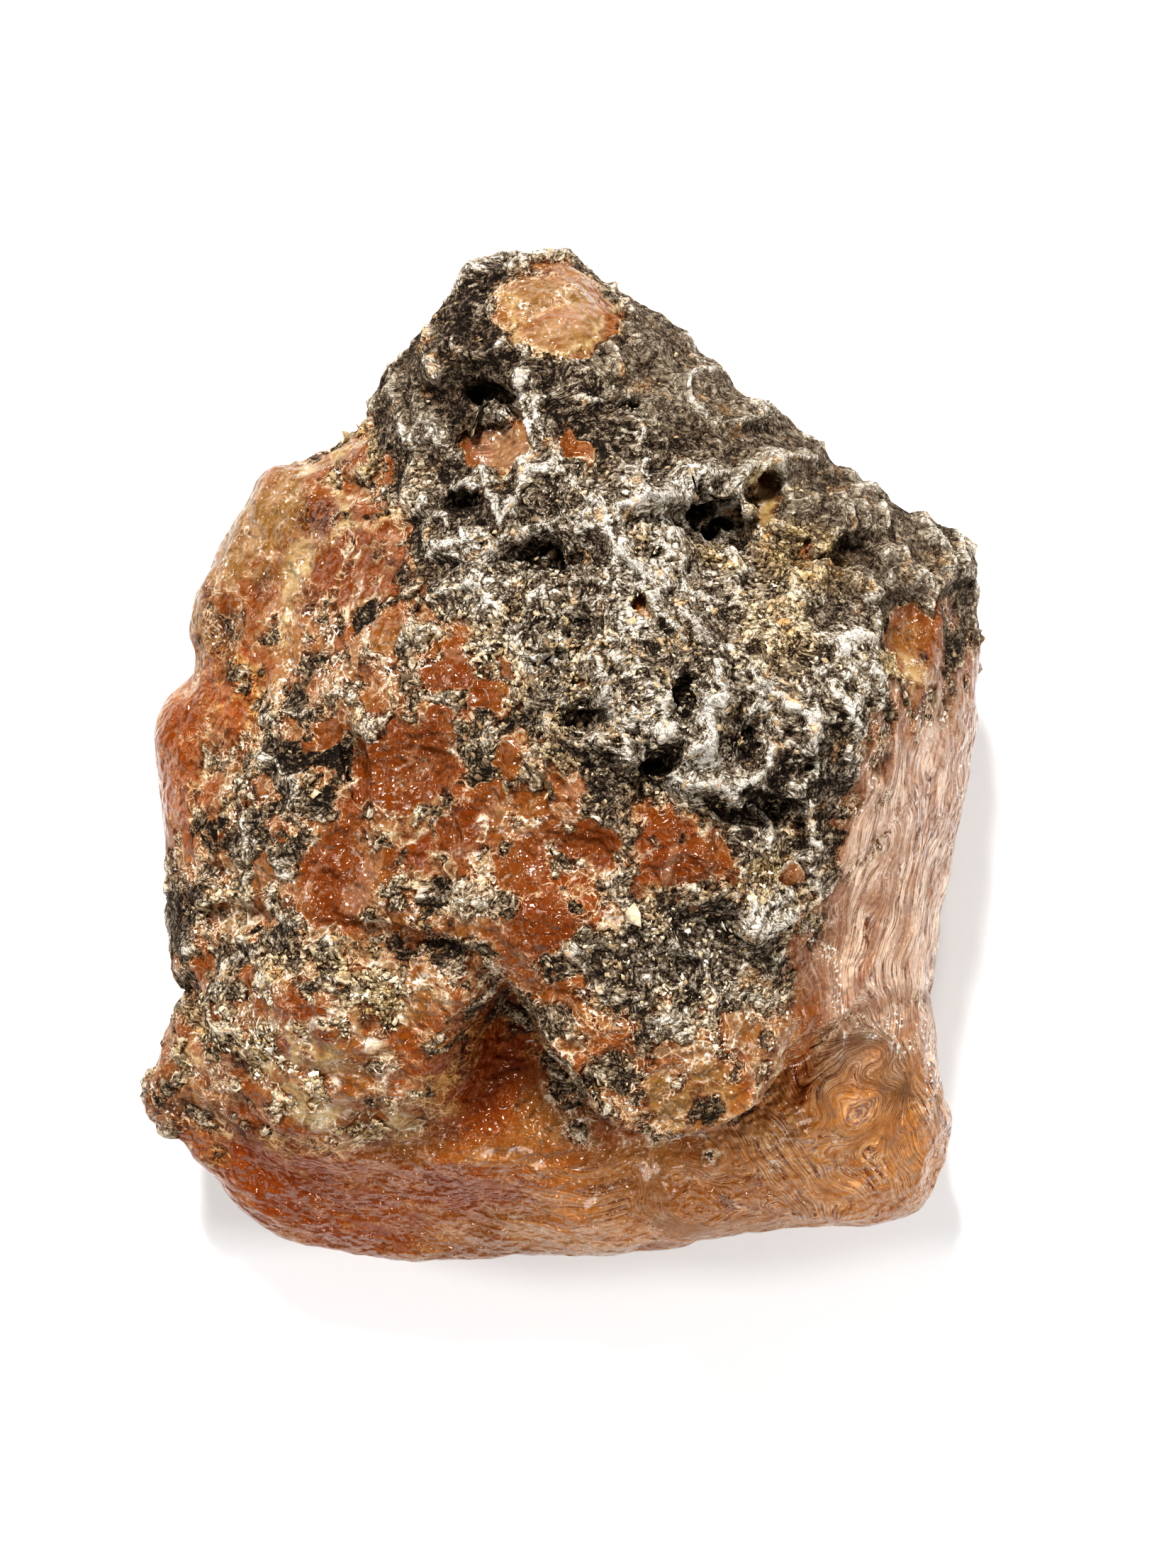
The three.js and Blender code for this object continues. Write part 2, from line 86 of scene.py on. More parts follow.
# How the crust's patterns are pushed about, and the seeds that its ridges and fibres share.
LOOSE_SIZE, LOOSE_REACH = 2.2, 0.9
NET_SEED, TWIG_SEED = 18, 19
RELIEF_START, RELIEF_FULL = 0.4, 4

# The widest line round the lump, (x, y, height), clockwise from the tip.
RIM = [
    # tip and the long north-east shoulder
    (-1.7, 34.6, 17), (0.5, 34.2, 17), (3.6, 31.7, 17), (7.5, 29.1, 17), (9.1, 26.9, 17),
    (13.5, 23.4, 17), (18, 20.4, 17), (22.5, 17.5, 16), (25.7, 15.8, 15), (27.8, 14.3, 14),
    # east side
    (28.5, 10, 13), (28.7, 5.1, 13), (28.2, -0.3, 13), (27.3, -5.7, 12), (26.6, -10.7, 11),
    (25.9, -15.6, 11), (26.2, -19.7, 10), (27.1, -23.7, 9), (27.3, -26.3, 9),
    # south-east corner and the long south side
    (26.2, -29.8, 8), (23.7, -31.9, 8), (18.5, -32.4, 8), (12.4, -33.1, 8), (5.4, -34.4, 8),
    (-1.6, -34.6, 8), (-8.6, -35, 8), (-14.6, -34.4, 8), (-20.3, -32.9, 9), (-23.5, -30.1, 10),
    # south-west spur and the notch above it
    (-25.9, -26, 12), (-28.7, -24.3, 13), (-28.5, -21.4, 13), (-27.1, -18, 12), (-26.1, -15.9, 11),
    # west side
    (-26.8, -13.1, 12), (-27, -8.6, 13), (-27.5, -3.3, 13), (-28.1, 1.2, 13), (-27.6, 4.1, 13),
    (-25.7, 6.3, 12), (-25.5, 10, 12), (-24.7, 13, 12), (-22.9, 16.2, 12), (-20.6, 19.9, 12),
    # north-west lobe, the small ledge and the flank up to the tip
    (-17.3, 21.2, 12), (-13.7, 23, 14), (-12.7, 25.1, 16), (-10.3, 28.1, 17), (-7.2, 31.4, 17),
    (-6.2, 33.5, 17), (-4.1, 34.2, 17),
]

# Spot heights, (x, y, height).
TIP = [
    (-1.6, 32.5, 24), (-4.6, 31.2, 25), (0.1, 29.3, 28), (3.3, 29.2, 26), (-2.4, 25.4, 30),
    (-6.8, 28.1, 27), (-9.2, 25, 24.5), (-5.9, 23.6, 26), (-11.3, 21.6, 21), (-6.8, 19.9, 26),
    (-4.1, 21.3, 26.5), (1.5, 23.2, 29.5),
]
SHOULDER = [
    (6.6, 26.5, 25), (7.4, 21.6, 27.5), (12.6, 22.4, 25), (11.5, 18.3, 28.5), (17.1, 17.6, 26),
    (22, 15, 24), (10.2, 15.2, 27), (15.2, 13.3, 28), (19.7, 10.5, 29), (25.4, 10.9, 22),
    (24.3, 6.2, 24),
]
CREST = [
    (1.5, 16.2, 32), (-4, 15.9, 30), (-8.2, 15.7, 27.5), (-0.8, 12.3, 30), (5.1, 12.6, 32.5),
    (10, 9.5, 32), (14.9, 8.1, 32), (19.5, 5.5, 31), (3.3, 8.1, 33.5), (-3, 8.2, 30.5),
    (-6.7, 10.6, 28.5), (7.7, 5.4, 34.5), (12.1, 3.1, 35), (16.6, 3.2, 34), (19.9, 1.9, 31.5),
    (2.4, 2.7, 34), (6.4, -0.4, 33.5), (11.2, -1.3, 34), (16.2, -1.7, 33), (-2.1, 1.9, 32),
    (-6.7, 4.6, 29.5),
]
WEST_FLANK = [
    (-11.6, 15, 24), (-15.6, 18.1, 21), (-18.6, 17.8, 19), (-20.6, 14.5, 18), (-14.4, 10.8, 24),
    (-18.4, 9.6, 21), (-22, 8.8, 18), (-11.4, 6.5, 27), (-17.2, 4.8, 24), (-22.4, 3.5, 19),
    (-25.3, 1.1, 17), (-19.1, -1.3, 23.5), (-22.8, -2.2, 20), (-9.5, -0.4, 28.5),
    (-14.6, -3.6, 26.5), (-19.6, -6.9, 23), (-24, -7.5, 19.5), (-14.2, -8.7, 26),
    (-10.4, -6.8, 28), (-23.3, -12.3, 19), (-18.1, -12.9, 24), (-13.3, -14.2, 26.5),
    (-8.6, -13.7, 27.5), (-4.9, -9, 29.5),
]
NOSE = [
    (-1.2, -4.4, 31.5), (3.7, -5.3, 32.5), (8.6, -6.2, 33), (13.6, -7.1, 32), (0.1, -11.2, 31.5),
    (5.1, -11.6, 32.5), (10.4, -11.6, 32), (1.9, -16.1, 31), (6.9, -16.6, 31.5), (11, -16.6, 30.5),
    (4.2, -21.7, 29), (8.8, -22.3, 28.5),
]
SOUTH_WEST_MOUND = [
    (-8.8, -18.5, 24), (-13.4, -19.4, 25), (-18.1, -18.5, 24), (-22.2, -18.8, 21),
    (-26.1, -20.1, 16.5), (-26.8, -23.2, 14.5), (-22.4, -22.7, 19), (-17.5, -24, 20.5),
    (-11.8, -24, 21), (-5.4, -15.6, 26.5),
]
EAST_SIDE = [
    (20.1, -1.3, 29), (25.7, 1.6, 20), (24.2, -3.2, 20.5), (18.4, -6.8, 28), (22.8, -8.9, 20.5),
    (16.1, -12.2, 28), (19.7, -13, 23.5), (23.5, -14.2, 18), (15.3, -16.5, 26), (18.9, -16.8, 22),
]
UPPER_SPOTS = TIP + SHOULDER + CREST + WEST_FLANK + NOSE + SOUTH_WEST_MOUND + EAST_SIDE

# The lower ledge along the south side.
LEDGE_SPOTS = [
    (-25, -26.2, 13.5), (-21.4, -28.1, 14.5), (-17.8, -31.4, 11.5), (-16.3, -27.2, 17.5),
    (-11.4, -32, 11), (-11, -26.6, 18.5), (-7.1, -23.2, 19), (-4.8, -19.9, 18.5),
    (-3.5, -16.5, 20), (-1.9, -21.9, 18), (-4.3, -26.6, 18.5), (-4.5, -31.8, 12),
    (0.5, -26.2, 18), (3.4, -29.4, 15.5), (8.3, -31.2, 13), (8.2, -27.8, 17), (14.1, -30, 14.5),
    (12.9, -25.7, 18), (15.8, -20.8, 19), (18.4, -18.7, 21.5), (18.1, -24.5, 20),
    (22.2, -26.9, 16.5), (23.5, -20.9, 18), (20, -30.1, 13.5), (25.4, -25.3, 13), (24, -16.7, 17.5),
]

# The lip of the mound and of the nose, from west to east.
LIP = [
    (-31.2, -24.7), (-23.3, -24.8), (-19.3, -25.6), (-15.6, -25.7), (-10.8, -24.9), (-7.9, -22.8),
    (-6.2, -19.3), (-4.5, -16), (-3.3, -14.5), (-2.1, -16.1), (-1, -18.8), (0.6, -20.4),
    (2.4, -22.7), (4.7, -24), (7.4, -24.6), (10.1, -23.9), (12.4, -22.5), (13.8, -20.7),
    (15, -19), (16.8, -17.9), (19.3, -16.8), (22.3, -16), (30, -15.6),
]

# Name, height, width and line of each crest.
CRESTS = [
    ("tip spine", 1.1, 0.65, [(-2.4, 26.3), (-2.2, 23.6), (-1.9, 19.3)]),
    ("white spine", 1.5, 0.61, [
        (-2.9, 17.1), (-1.3, 18.7), (0.6, 18.1), (3.3, 15), (3.9, 13.2), (5.3, 11.2), (7.7, 7.9)
    ]),
    ("long crest", 1.4, 0.55, [
        (7.5, 9.8), (9.5, 7.8), (11.5, 6.4), (12.9, 4.7), (15.8, 2.9), (16.1, -0.2), (15.4, -1.4)
    ]),
    ("inner crest", 0.8, 0.37, [(12, 4.7), (13.2, 3.1), (15, 0.9)]),
    ("cross crest", 1.9, 0.61, [
        (3.8, 16.2), (6.8, 17), (9, 18.8), (9.9, 17.4), (11.3, 16.9), (12.8, 19.2), (14.3, 19.4)
    ]),
    ("splinter crest", 0.9, 0.32, [(6.2, 15.7), (7.1, 13.9), (8.1, 10.7), (10, 10.3), (11.8, 9.6)]),
    ("west arch", 1.2, 0.42, [
        (-7.3, 17.4), (-6.2, 18.3), (-4.8, 17.8), (-3.9, 16.8), (-3.8, 15.3), (-1.9, 17.6)
    ]),
    ("forked crest", 1.2, 0.51, [
        (-1, 10.3), (-0.1, 8.3), (0.7, 6.9), (2.5, 6.4), (3.3, 3.5), (4.4, 0.9), (4.7, -0.3)
    ]),
    ("small cell rim", 1.2, 0.37, [(-0.5, 2.5), (0.1, 1.3), (0.9, 0.9), (2, 1.2), (3.3, 1.8)]),
    ("shelf crest", 1.5, 0.55, [(3.3, 3.5), (4.3, 2.5), (5.3, 2.9), (6.4, 3.7), (7.1, 1.7)]),
    ("great cell rim", 1.9, 0.42, [
        (10, 6), (10.1, 4.4), (9.5, 3.3), (9.4, 1.8), (7.9, 0.2), (7.7, -0.8), (8.4, -1.5),
        (9.9, -1.4), (10.8, -1.8), (12.7, -0.5), (13.2, 0.5), (13.8, 1)
    ]),
    ("hook", 0.9, 0.37, [(17, 5.1), (17.8, 4.1), (18, 3), (18.7, 2.5)]),
    ("shoulder crest", 0.9, 0.46, [(16.3, 5.7), (18.1, 6.7), (19.3, 6.7), (20.5, 5.4), (22, 4.1)]),
    ("west wrinkle", 0.8, 0.42, [(-9, 10.5), (-7.2, 11.4), (-5.4, 11.6), (-4.4, 10.5), (-3, 8.9)]),
    ("tan rim", 0.8, 0.42, [(-9, 12.9), (-7.6, 14), (-4.5, 14.6)]),
]

# Folds in the bare resin, in the same form.
FOLDS = [
    ("nose seam", 0.9, 0.9, [(-2.3, -9.8), (0.1, -9.3), (5.3, -10.6)]),
    ("red fold", 1.2, 0.9, [(5.9, -6), (7.7, -5.6), (10.8, -6.7)]),
]

# Name, middle, half sizes, turn in degrees and depth of each hollow.
HOLLOWS = [
    ("cave under the cross crest", (9.7, 15.8), (2.6, 1.3), -25, 3.4),
    ("cave on the tip", (-4.3, 23.7), (1.7, 0.9), -12, 3.2),
    ("centre hollow", (-0.7, 12.7), (2.6, 1.5), 0, 3),
    ("arch hollow", (-5.6, 17), (1.6, 0.8), 15, 2),
    ("pocket under the fork", (0.6, 8.9), (1.3, 1.5), 0, 1.6),
    ("west pocket", (-0.8, 6.5), (1.4, 0.7), 15, 1.6),
    ("middle cell", (8, 4), (1.3, 1.5), 0, 2.2),
    ("great cell", (11.2, 1.5), (1.6, 2), -10, 2.2),
    ("cave under the great cell", (12.2, -2.7), (3.2, 1.2), -8, 2.6),
    ("south-west cave", (5.8, -0.9), (2.3, 1.8), 0, 2.6),
    ("small cell", (1.8, 2.9), (1.5, 1.1), 15, 1.8),
    ("tan niche", (13.3, 17.8), (1.2, 1.9), 0, 1.8),
    ("crumbly dip", (4.2, 22.7), (1.6, 1.2), 0, 1.4),
    ("amber pit", (22.5, 8.3), (1.9, 2.2), 0, 1.8),
    ("smooth dish", (-4.9, 21.2), (2, 1.9), 0, 1.6),
    ("brown pit", (-14.3, 18.4), (1.6, 1.1), -20, 1.2),
    ("edge pit", (-22.8, 9.2), (1.2, 1.5), 0, 1.6),
    ("window moat", (-13.4, -0.1), (0.6, 2.6), 15, 1.4),
    ("main window", (-9.6, -0.7), (2.8, 2.1), 12, 0.7),
    ("lower window", (-14.7, -6.6), (2.4, 3), -8, 0.9),
    ("shoulder dip", (17.9, 13.3), (2.3, 1.3), 20, 1.4),
    ("nose dip", (9.1, -12), (2.3, 2.2), 0, 1.2),
    ("olive hollow", (-24.9, -16.7), (1, 2.5), 8, 2.2),
    ("west gully", (-21.8, -10.3), (2.8, 0.8), 0, 1.4),
    ("middle gully", (-10.5, -11.4), (4.1, 0.6), -10, 1.2),
    ("red basin", (0.6, -6), (3.6, 1.5), 0, 1),
]

# Bare resin, where the coarse relief is smoother: middle and half sizes.
SMOOTH_AREAS = [
    ((0, 29.3), (3.6, 3.2)),
    ((-17, 13), (6, 6)),
    ((-26, 0), (4, 9)),
    ((-9.6, -0.7), (3.6, 3)),
    ((26, -8), (7, 13)),
    ((10, -31), (20, 8)),
    ((-12, -32), (16, 6)),
    ((-4.2, -21), (4.2, 5.4)),
]
NORTH_OF_LIP = [(40, 60), (-40, 60)]
EAST_FACE_AT, EAST_FACE_SLOPE = (19.5, -3, 30), (-1.6, 0.25)

# ---- Cover and colour, in millimetres ----------------------------------------------------

# How much of the skin is crusted, (x, y, share).
COVER = [
    # tip
    (-4, 31.3, 1), (-6.3, 29, 1), (-7.7, 25.8, 1), (-2.2, 24, 1), (1.5, 25.3, 0.9),
    (3.8, 28.6, 0.85), (6.5, 25.8, 0.9), (-4.5, 20.1, 0.8), (-10.5, 22.1, 0.9),
    (-9.1, 19.4, 0.85), (-6.3, 16.6, 1),
    # shoulder
    (9.8, 22.2, 1), (14.4, 19.5, 1), (19, 16.7, 1), (23.6, 13, 0.9), (25.9, 10.7, 0.75),
    (23.6, 8.4, 0.5), (19, 10.7, 0.95), (20.8, 13.5, 0.95),
    # crest
    (3.3, 14.4, 1), (9.5, 14.9, 1), (9.5, 8.1, 1), (14, 8.1, 1), (2.8, 8.1, 1), (6.9, 3.7, 1),
    (11.3, 1.4, 1), (16.3, 3.7, 1), (18.5, 6.8, 1), (-2.1, 10.4, 1), (-4.8, 13.1, 1),
    (-6.6, 10.4, 0.9), (-8.4, 8.1, 0.66), (-10.2, 10.4, 0.5), (5.1, -0.8, 1), (11.8, -1.7, 1),
    (-0.3, 3.7, 0.85),
    # west flank
    (-12.5, 8.5, 0.41), (-15.8, 3.8, 0.53), (-18.1, 6.2, 0.45), (-19, 1.5, 0.66),
    (-16.7, -1.8, 0.74), (-20, -3.1, 0.61), (-22.8, -5.5, 0.61), (-24.6, -8.3, 0.82),
    (-21.4, -9.2, 0.41), (-23.2, 1, 0.25), (-20.4, 3.8, 0.33), (-13.4, 5.7, 0.41), (-10.7, 5.2, 0.45),
    (-7.9, 5.7, 0.47), (-7.9, 1.5, 0.34), (-5.1, 3.8, 0.51), (-4.1, 1, 0.47), (-3.2, -1.3, 0.42),
    # middle
    (-13.2, -6.3, 0.2), (-10.4, -4.5, 0.37), (-8.6, -8.1, 0.57), (-6.8, -10.9, 0.68),
    (-10.4, -11.3, 0.55), (-15.4, -12.2, 0.75), (-17.7, -14.5, 0.42), (-13.2, -14.1, 0.45),
    (-20.9, -11.8, 0.5), (-4, -4.5, 0.38), (-1.3, -4, 0.21), (0.6, -7.2, 0.3), (3.3, -6.8, 0.4),
    (5.1, -4.5, 0.4), (7.9, -6.3, 0.1), (11.5, -5.4, 0.65), (13.8, -6.8, 0.9), (15.6, -4.5, 0.9),
    (16.5, -0.8, 0.95),
    # nose
    (-1.2, -11.2, 0.34), (-3, -12.1, 0.26), (0.6, -14.3, 0.45), (3.3, -11.2, 0.75),
    (6, -10.7, 0.95), (9.6, -12.1, 1), (11.8, -10.7, 0.8), (7.8, -14.3, 1), (5.1, -14.3, 0.8),
    (3.7, -17.5, 0.45), (7.8, -17.9, 0.4), (11.4, -15.7, 0.5), (12.3, -18.8, 0.2),
    (9.6, -21.1, 0.3), (6.4, -22.4, 0.5), (3.3, -20.6, 0.35), (0.1, -17.9, 0.3),
    # south-west mound
    (-23, -14.9, 0.55), (-23.9, -17.3, 0.4), (-24.4, -20.6, 0.43), (-21.6, -18.7, 0.25),
    (-18.3, -18.7, 0.26), (-15.5, -18.7, 0.22), (-12.7, -18.2, 0.22), (-10.8, -19.6, 0.2),
    (-14.5, -22.4, 0.3), (-17.4, -22.9, 0.3), (-21.1, -22.4, 0.25), (-23, -23.9, 0.2),
    (-10.8, -22.9, 0.22), (-8.4, -17.3, 0.2), (-8.9, -14.9, 0.4), (-6.5, -14.9, 0.3),
    # bare resin: north-west lobe and west side
    (-18.6, 16.4, 0.05), (-21, 13.5, 0.1), (-16.2, 18.3, 0.25), (-13.8, 21.1, 0.3),
    (-15.7, 14.4, 0), (-13.8, 13, 0.1), (-18.6, 10.6, 0.1), (-23.3, 8.7, 0.16), (-22.4, 6.3, 0.16),
    (-11.9, 16.4, 0.3), (-26.2, 4, 0), (-26.2, -0.8, 0.04), (-25.7, -4.6, 0.08),
    # bare resin: ledge and east face
    (-4.3, -19.9, 0), (-4.3, -27, 0), (-13.8, -29.4, 0), (-19.5, -28.9, 0), (5.3, -28.9, 0),
    (14.8, -27, 0), (22, -24.7, 0), (17.2, -21.3, 0), (22, -17.5, 0), (24.3, -10.4, 0),
    (24.3, -3.2, 0), (25.8, 2, 0), (20, -10.4, 0), (18.6, -15.1, 0), (22.9, 1.1, 0.05),
    (20.8, -2.2, 0.05), (19.1, -6.1, 0.1), (16.2, -16.1, 0.1), (23.9, 4.9, 0.4),
    (26.5, 6.3, 0.15), (-9, -26.6, 0.03), (-16.7, -26.6, 0.09),
]
COVER_REACH = 1.9
LIP_FROSTING = 0.6
UNDERSIDE_COVER = 0.45
CRUST_DIP = 0.2
# The crust's level below which a ring has no faces, and over which crust grows to its full
# height on the body and on a ring.
CRUST_EDGE = -0.04
BODY_CRUST_LEVELS, RING_CRUST_LEVELS = (-0.05, 0.06), (-0.05, 0.1)
# Where the crust rings end near the rim, as a place along a meridian, and from which rows,
# counted from the rim, the body has its own crust relief and then the underside's cover.
CRUST_ENDS = (0.95, 0.985)
BODY_CRUST_ROWS = (-12, -3)
UNDER_ROWS = 22
BODY_SPACING = 0.3
CRUST_SPACING = 0.15

# Half the usual length of a loose scale, how its size and rim vary, its half width as a share
# of its half length, its sag and lift, and how far it leans over.
FLAKE_SIZE = 0.2
FLAKE_SIDES = 6
FLAKE_SPREAD, FLAKE_RAGGED, FLAKE_NARROW = 0.4, 0.25, 0.55
FLAKE_SAG, FLAKE_LIFT, FLAKE_LEAN = 0.4, 0.4, 0.45
FLAKE_SEED = 5

# Rings of crust, from the crown point to the rim: name, meridians, and the rows' first and
# last places along a meridian.
CRUST_RINGS = [
    ("crust_crest", 520, 0, 0.36, 88),
    ("crust_middle", 860, 0.355, 0.66, 80),
    ("crust_border", 1200, 0.655, 0.985, 96),
]

# Where thin walls stand up between cups, in the form of a tilted oval.
WEB_AREAS = [
    ((7, 5), (13, 10), -35), ((-1, 12), (8, 7), 0), ((5, -13), (7, 4), 0), ((2, 22), (6, 4), 0),
]

# Bare windows in the crust: middle, half sizes, turn in degrees from +X towards +Y.
WINDOWS = [
    ((-0.2, 29.7), (4, 3.4), -20), ((-10, -0.3), (3.3, 2.4), 20), ((-14.8, -7.7), (2.4, 3.1), -10),
    ((-11.3, -6.6), (0.6, 1.3), -5), ((-19.8, -7.1), (1, 1.2), 0), ((-7.2, 5.6), (1.5, 1), 0),
    ((-4.4, 4.4), (1, 0.8), 0), ((-7.4, 2.4), (0.8, 1), 0), ((-3.3, 0.1), (0.8, 0.9), 0),
    ((-1.7, -2.5), (1.1, 0.7), 0), ((8.2, -6.3), (2.3, 1.2), 8), ((6.9, -4.1), (0.7, 0.9), 0),
    ((14.8, -7.1), (0.9, 0.9), 0), ((5.3, 9.7), (0.8, 0.5), 0), ((15.9, 13.6), (0.4, 1), 0),
    ((22.7, 8.9), (1.6, 1.7), 0), ((-6.7, -4.5), (1.2, 1.4), 0), ((1.9, -4.9), (1.8, 1), 0),
    ((-2.4, -6.7), (1.4, 1.2), 0), ((-4.4, -2.2), (1.1, 1), 0), ((-1.2, -10.3), (1.9, 1.5), 0),
    ((-11.4, 8.1), (0.9, 1), 0), ((-15.5, 2), (1, 0.9), 0), ((-4.1, 20.6), (2, 1.7), 0),
    ((13.4, 17.3), (0.9, 1.8), 0), ((1, 20.3), (0.7, 1.4), 35),
]

# Cream veins in the bare resin.
VEINS = [
    [(-15.4, 19), (-14.5, 17.5), (-14, 16), (-15.4, 14.8), (-16.7, 13.9), (-18.1, 12.5),
     (-18.5, 11.4), (-18.1, 10.2), (-18.7, 7.9)],
    [(-14, 16), (-12.2, 15.8), (-10.8, 17)],
    [(-5.6, 32), (-3.2, 30.5), (-2.9, 27.6), (-0.6, 26.2), (2, 27), (2.9, 29.6)],
]
VEIN_WIDTH = 0.3

# How the flow lines of the resin run: a height over X and one over Y, whose sum is the same
# along each line, and the loops in them, in the form of a tilted oval.
FLOW_OVER_X = (-30, -8, 6, 12, 16, 30), (-10, 0, 0.6, 4, 10, 34)
FLOW_OVER_Y = (-36, -19, -13, 36), (-17, 0, 2, -15)
FLOW_LOOPS = [((9.9, -29.8), (3.6, 2.2), 0), ((20.7, -23), (2.2, 3), -10)]

# Areas of one tint or finish, in the same form with a strength.
TINTS = {
    "pale": [
        ((7.7, 9), (8.5, 10.7), -20, 1), ((17.2, 5.9), (4.9, 3.1), 30, 1), ((-3.1, 9.1), (5, 5.4), 0, 1),
        ((13.6, -6.7), (2.7, 4.5), 0, 1), ((-14.7, -23.1), (5.2, 1.7), -8, 1),
        ((-21.8, -9.8), (3.3, 1.9), 0, 1), ((-10.5, -9.5), (4.6, 2.3), 0, 0.3), ((1.9, 17.5), (4, 2.7), 0, 1),
        ((5.1, -11.2), (4.1, 2.7), 0, 1), ((9, -13.5), (4.5, 4.5), 0, 1.3),
        ((-17, -18.5), (8, 5.5), 0, 1.3), ((-12, -15.5), (4, 3), 0, 1.2),
    ],
    "cream": [
        ((10, 13.3), (1.8, 0.9), -20, 1), ((13.8, 8.6), (2.8, 3.1), 0, 0.7), ((22.1, 6.3), (2.5, 1), -25, 1),
        ((13.1, 17.5), (1.2, 2.2), 0, 1), ((-18.9, -13.5), (1, 1.1), 0, 1), ((-13.1, -13), (2.3, 1.4), 0, 1),
        ((-12, -16.1), (2.4, 2), 0, 1), ((-18.1, -19.5), (3.4, 2.6), 0, 1),
        ((-14.2, -23.6), (4.3, 1.5), -10, 1), ((13.4, -6.8), (1.5, 1.4), 0, 1),
        ((-13.7, 20.9), (2.1, 2.1), 0, 1), ((-16.3, 18.6), (0.8, 2.4), 20, 1),
        ((-17.5, 13.4), (0.8, 2.8), -20, 0.6), ((15.6, 13.3), (3.7, 2.3), -20, 1),
        ((-25.3, -18.6), (1.1, 2.9), -5, 1),
    ],
    # These areas are partly blackened crust and partly a painted shade laid over the caves, pits and hollows.
    "soot": [
        ((-6.8, 25.8), (4.1, 4.1), 0, 2), ((-5, 22.6), (3.2, 2.3), 0, 1), ((1.5, 23.7), (3.2, 2.7), 0, 1),
        ((-0.8, 12.2), (3.2, 2.3), 0, 1), ((9.8, 16.1), (3.2, 1.5), 5, 1), ((5, -0.8), (3.6, 2.7), 0, 1),
        ((12.2, -2.2), (3.6, 1.3), -5, 1), ((11, 1.6), (1.6, 2.4), 0, 1),
        ((-25.1, -8.5), (1.9, 1.9), 0, 1), ((-16.7, -12.2), (3.7, 0.9), 8, 1),
        ((8.7, -13), (2.7, 2.5), 0, 0.5), ((6.3, -23), (1.2, 1.2), 0, 0.3),
        ((1.9, -20.2), (1, 0.9), 0, 1), ((-16.6, -1.3), (1.4, 2.3), -20, 1),
        ((9.7, 20.2), (2.7, 1.8), -20, 1), ((-6.3, 16.8), (2.1, 1.1), 0, 1), ((20, 15.4), (4.2, 1.9), -35, 1),
    ],
    "stain": [
        ((-15.7, 16.5), (2.2, 1.4), -10, 1), ((-22.8, 8.9), (1.4, 2.2), 0, 1),
        ((-19.9, 12.1), (0.9, 0.9), 0, 0.8), ((-12.5, 20.2), (1.2, 1), 0, 0.8),
    ],
    "mellow": [
        ((18.5, 16.5), (11, 5), -38, 1), ((8, 25), (8, 4.5), -38, 1), ((-8, 24.5), (5, 5), 0, 0.7),
    ],
    "red": [
        ((-10.4, -0.4), (5, 4.1), 20, 1), ((-14.8, -7.7), (3.2, 3.7), -10, 1), ((3.3, -5.8), (9, 3.2), 0, 1),
        ((-14.5, 13.3), (5.2, 3.8), 20, 1), ((-1.2, -10.7), (3.2, 2.7), 0, 1),
        ((-7.2, 4.7), (3.7, 2.7), 0, 1), ((15.2, 13.6), (1.8, 1.8), 0, 1),
        ((-18.3, -17.7), (4.2, 2.8), 0, 1), ((-22, -24.8), (3.4, 1.9), 0, 1),
        ((-7.7, -4.5), (4.1, 2.7), 0, 1),
    ],
    "face": [
        ((22.8, -8), (6.2, 13), -8, 1), ((26.5, -18), (2.5, 9), 0, 0.6), ((-4.1, 20.6), (2, 1.7), 0, 0.7),
        ((-0.2, 29.7), (4, 3.4), -20, 0.15),
    ],
    "flow": [((19, -26), (9, 7.5), 0, 1), ((6, -30), (13, 4), 0, 0.7), ((-10, -30), (10, 4), 10, 0.4)],
    "tan": [
        ((-0.1, 29.5), (3.7, 3.2), -20, 1), ((-19.6, 15.5), (5.3, 5.7), -20, 1),
        ((19.8, -25), (8.7, 6.3), 0, 0.8), ((7.4, -21.7), (5.5, 2.7), 0, 1),
        ((-4.5, 20.2), (2.8, 2.5), 0, 1), ((-23.6, 10.7), (2.9, 3.8), 0, 1),
        ((13.4, 17.3), (1.8, 2.6), 0, 1),
    ],
    "deep": [
        ((-5.3, -20), (5.3, 4.3), 40, 1), ((16.2, -20.8), (1.3, 2.1), -10, 1),
        ((-17.5, -29.5), (10, 4.6), -20, 1), ((-7.3, -29), (5.8, 2.4), 0, 1),
        ((-25.9, 0.1), (1.9, 6.2), 0, 0.5), ((-21.9, 4.9), (2.4, 3.3), 0, 1),
    ],
}

# ---- Camera and stage ----------------------------------------------------------------------

CAMERA_HEIGHT = 235
CAMERA_OVER = (1.9, -1.1)
LENS = 73.7
SENSOR = 36

# Each light's name, place in metres, size in metres and power in watts.
LIGHTS = [
    ("key", (-0.1, 0.4, 0.48), 0.1, 4.8),
    ("left", (-0.5, 0.1, 0.45), 0.12, 1.1),
    ("right", (0.5, -0.05, 0.35), 0.12, 1.3),
    ("near", (0.05, -0.5, 0.35), 0.12, 1.2),
]
FLOOR_HALF = 1.5
WORLD_STRENGTH = 0.21

# ---- Optics --------------------------------------------------------------------------------

# Strength of the skin's plain reflection.
SHEEN = 0.15
RESIN_IOR = 1.54
GLOSS_ROUGHNESS = 0.06
AMBER, AMBER_DENSITY = (0.9, 0.45, 0.1, 1), 220.0


# ---- Sizes and colours a user would change -------------------------------------------------


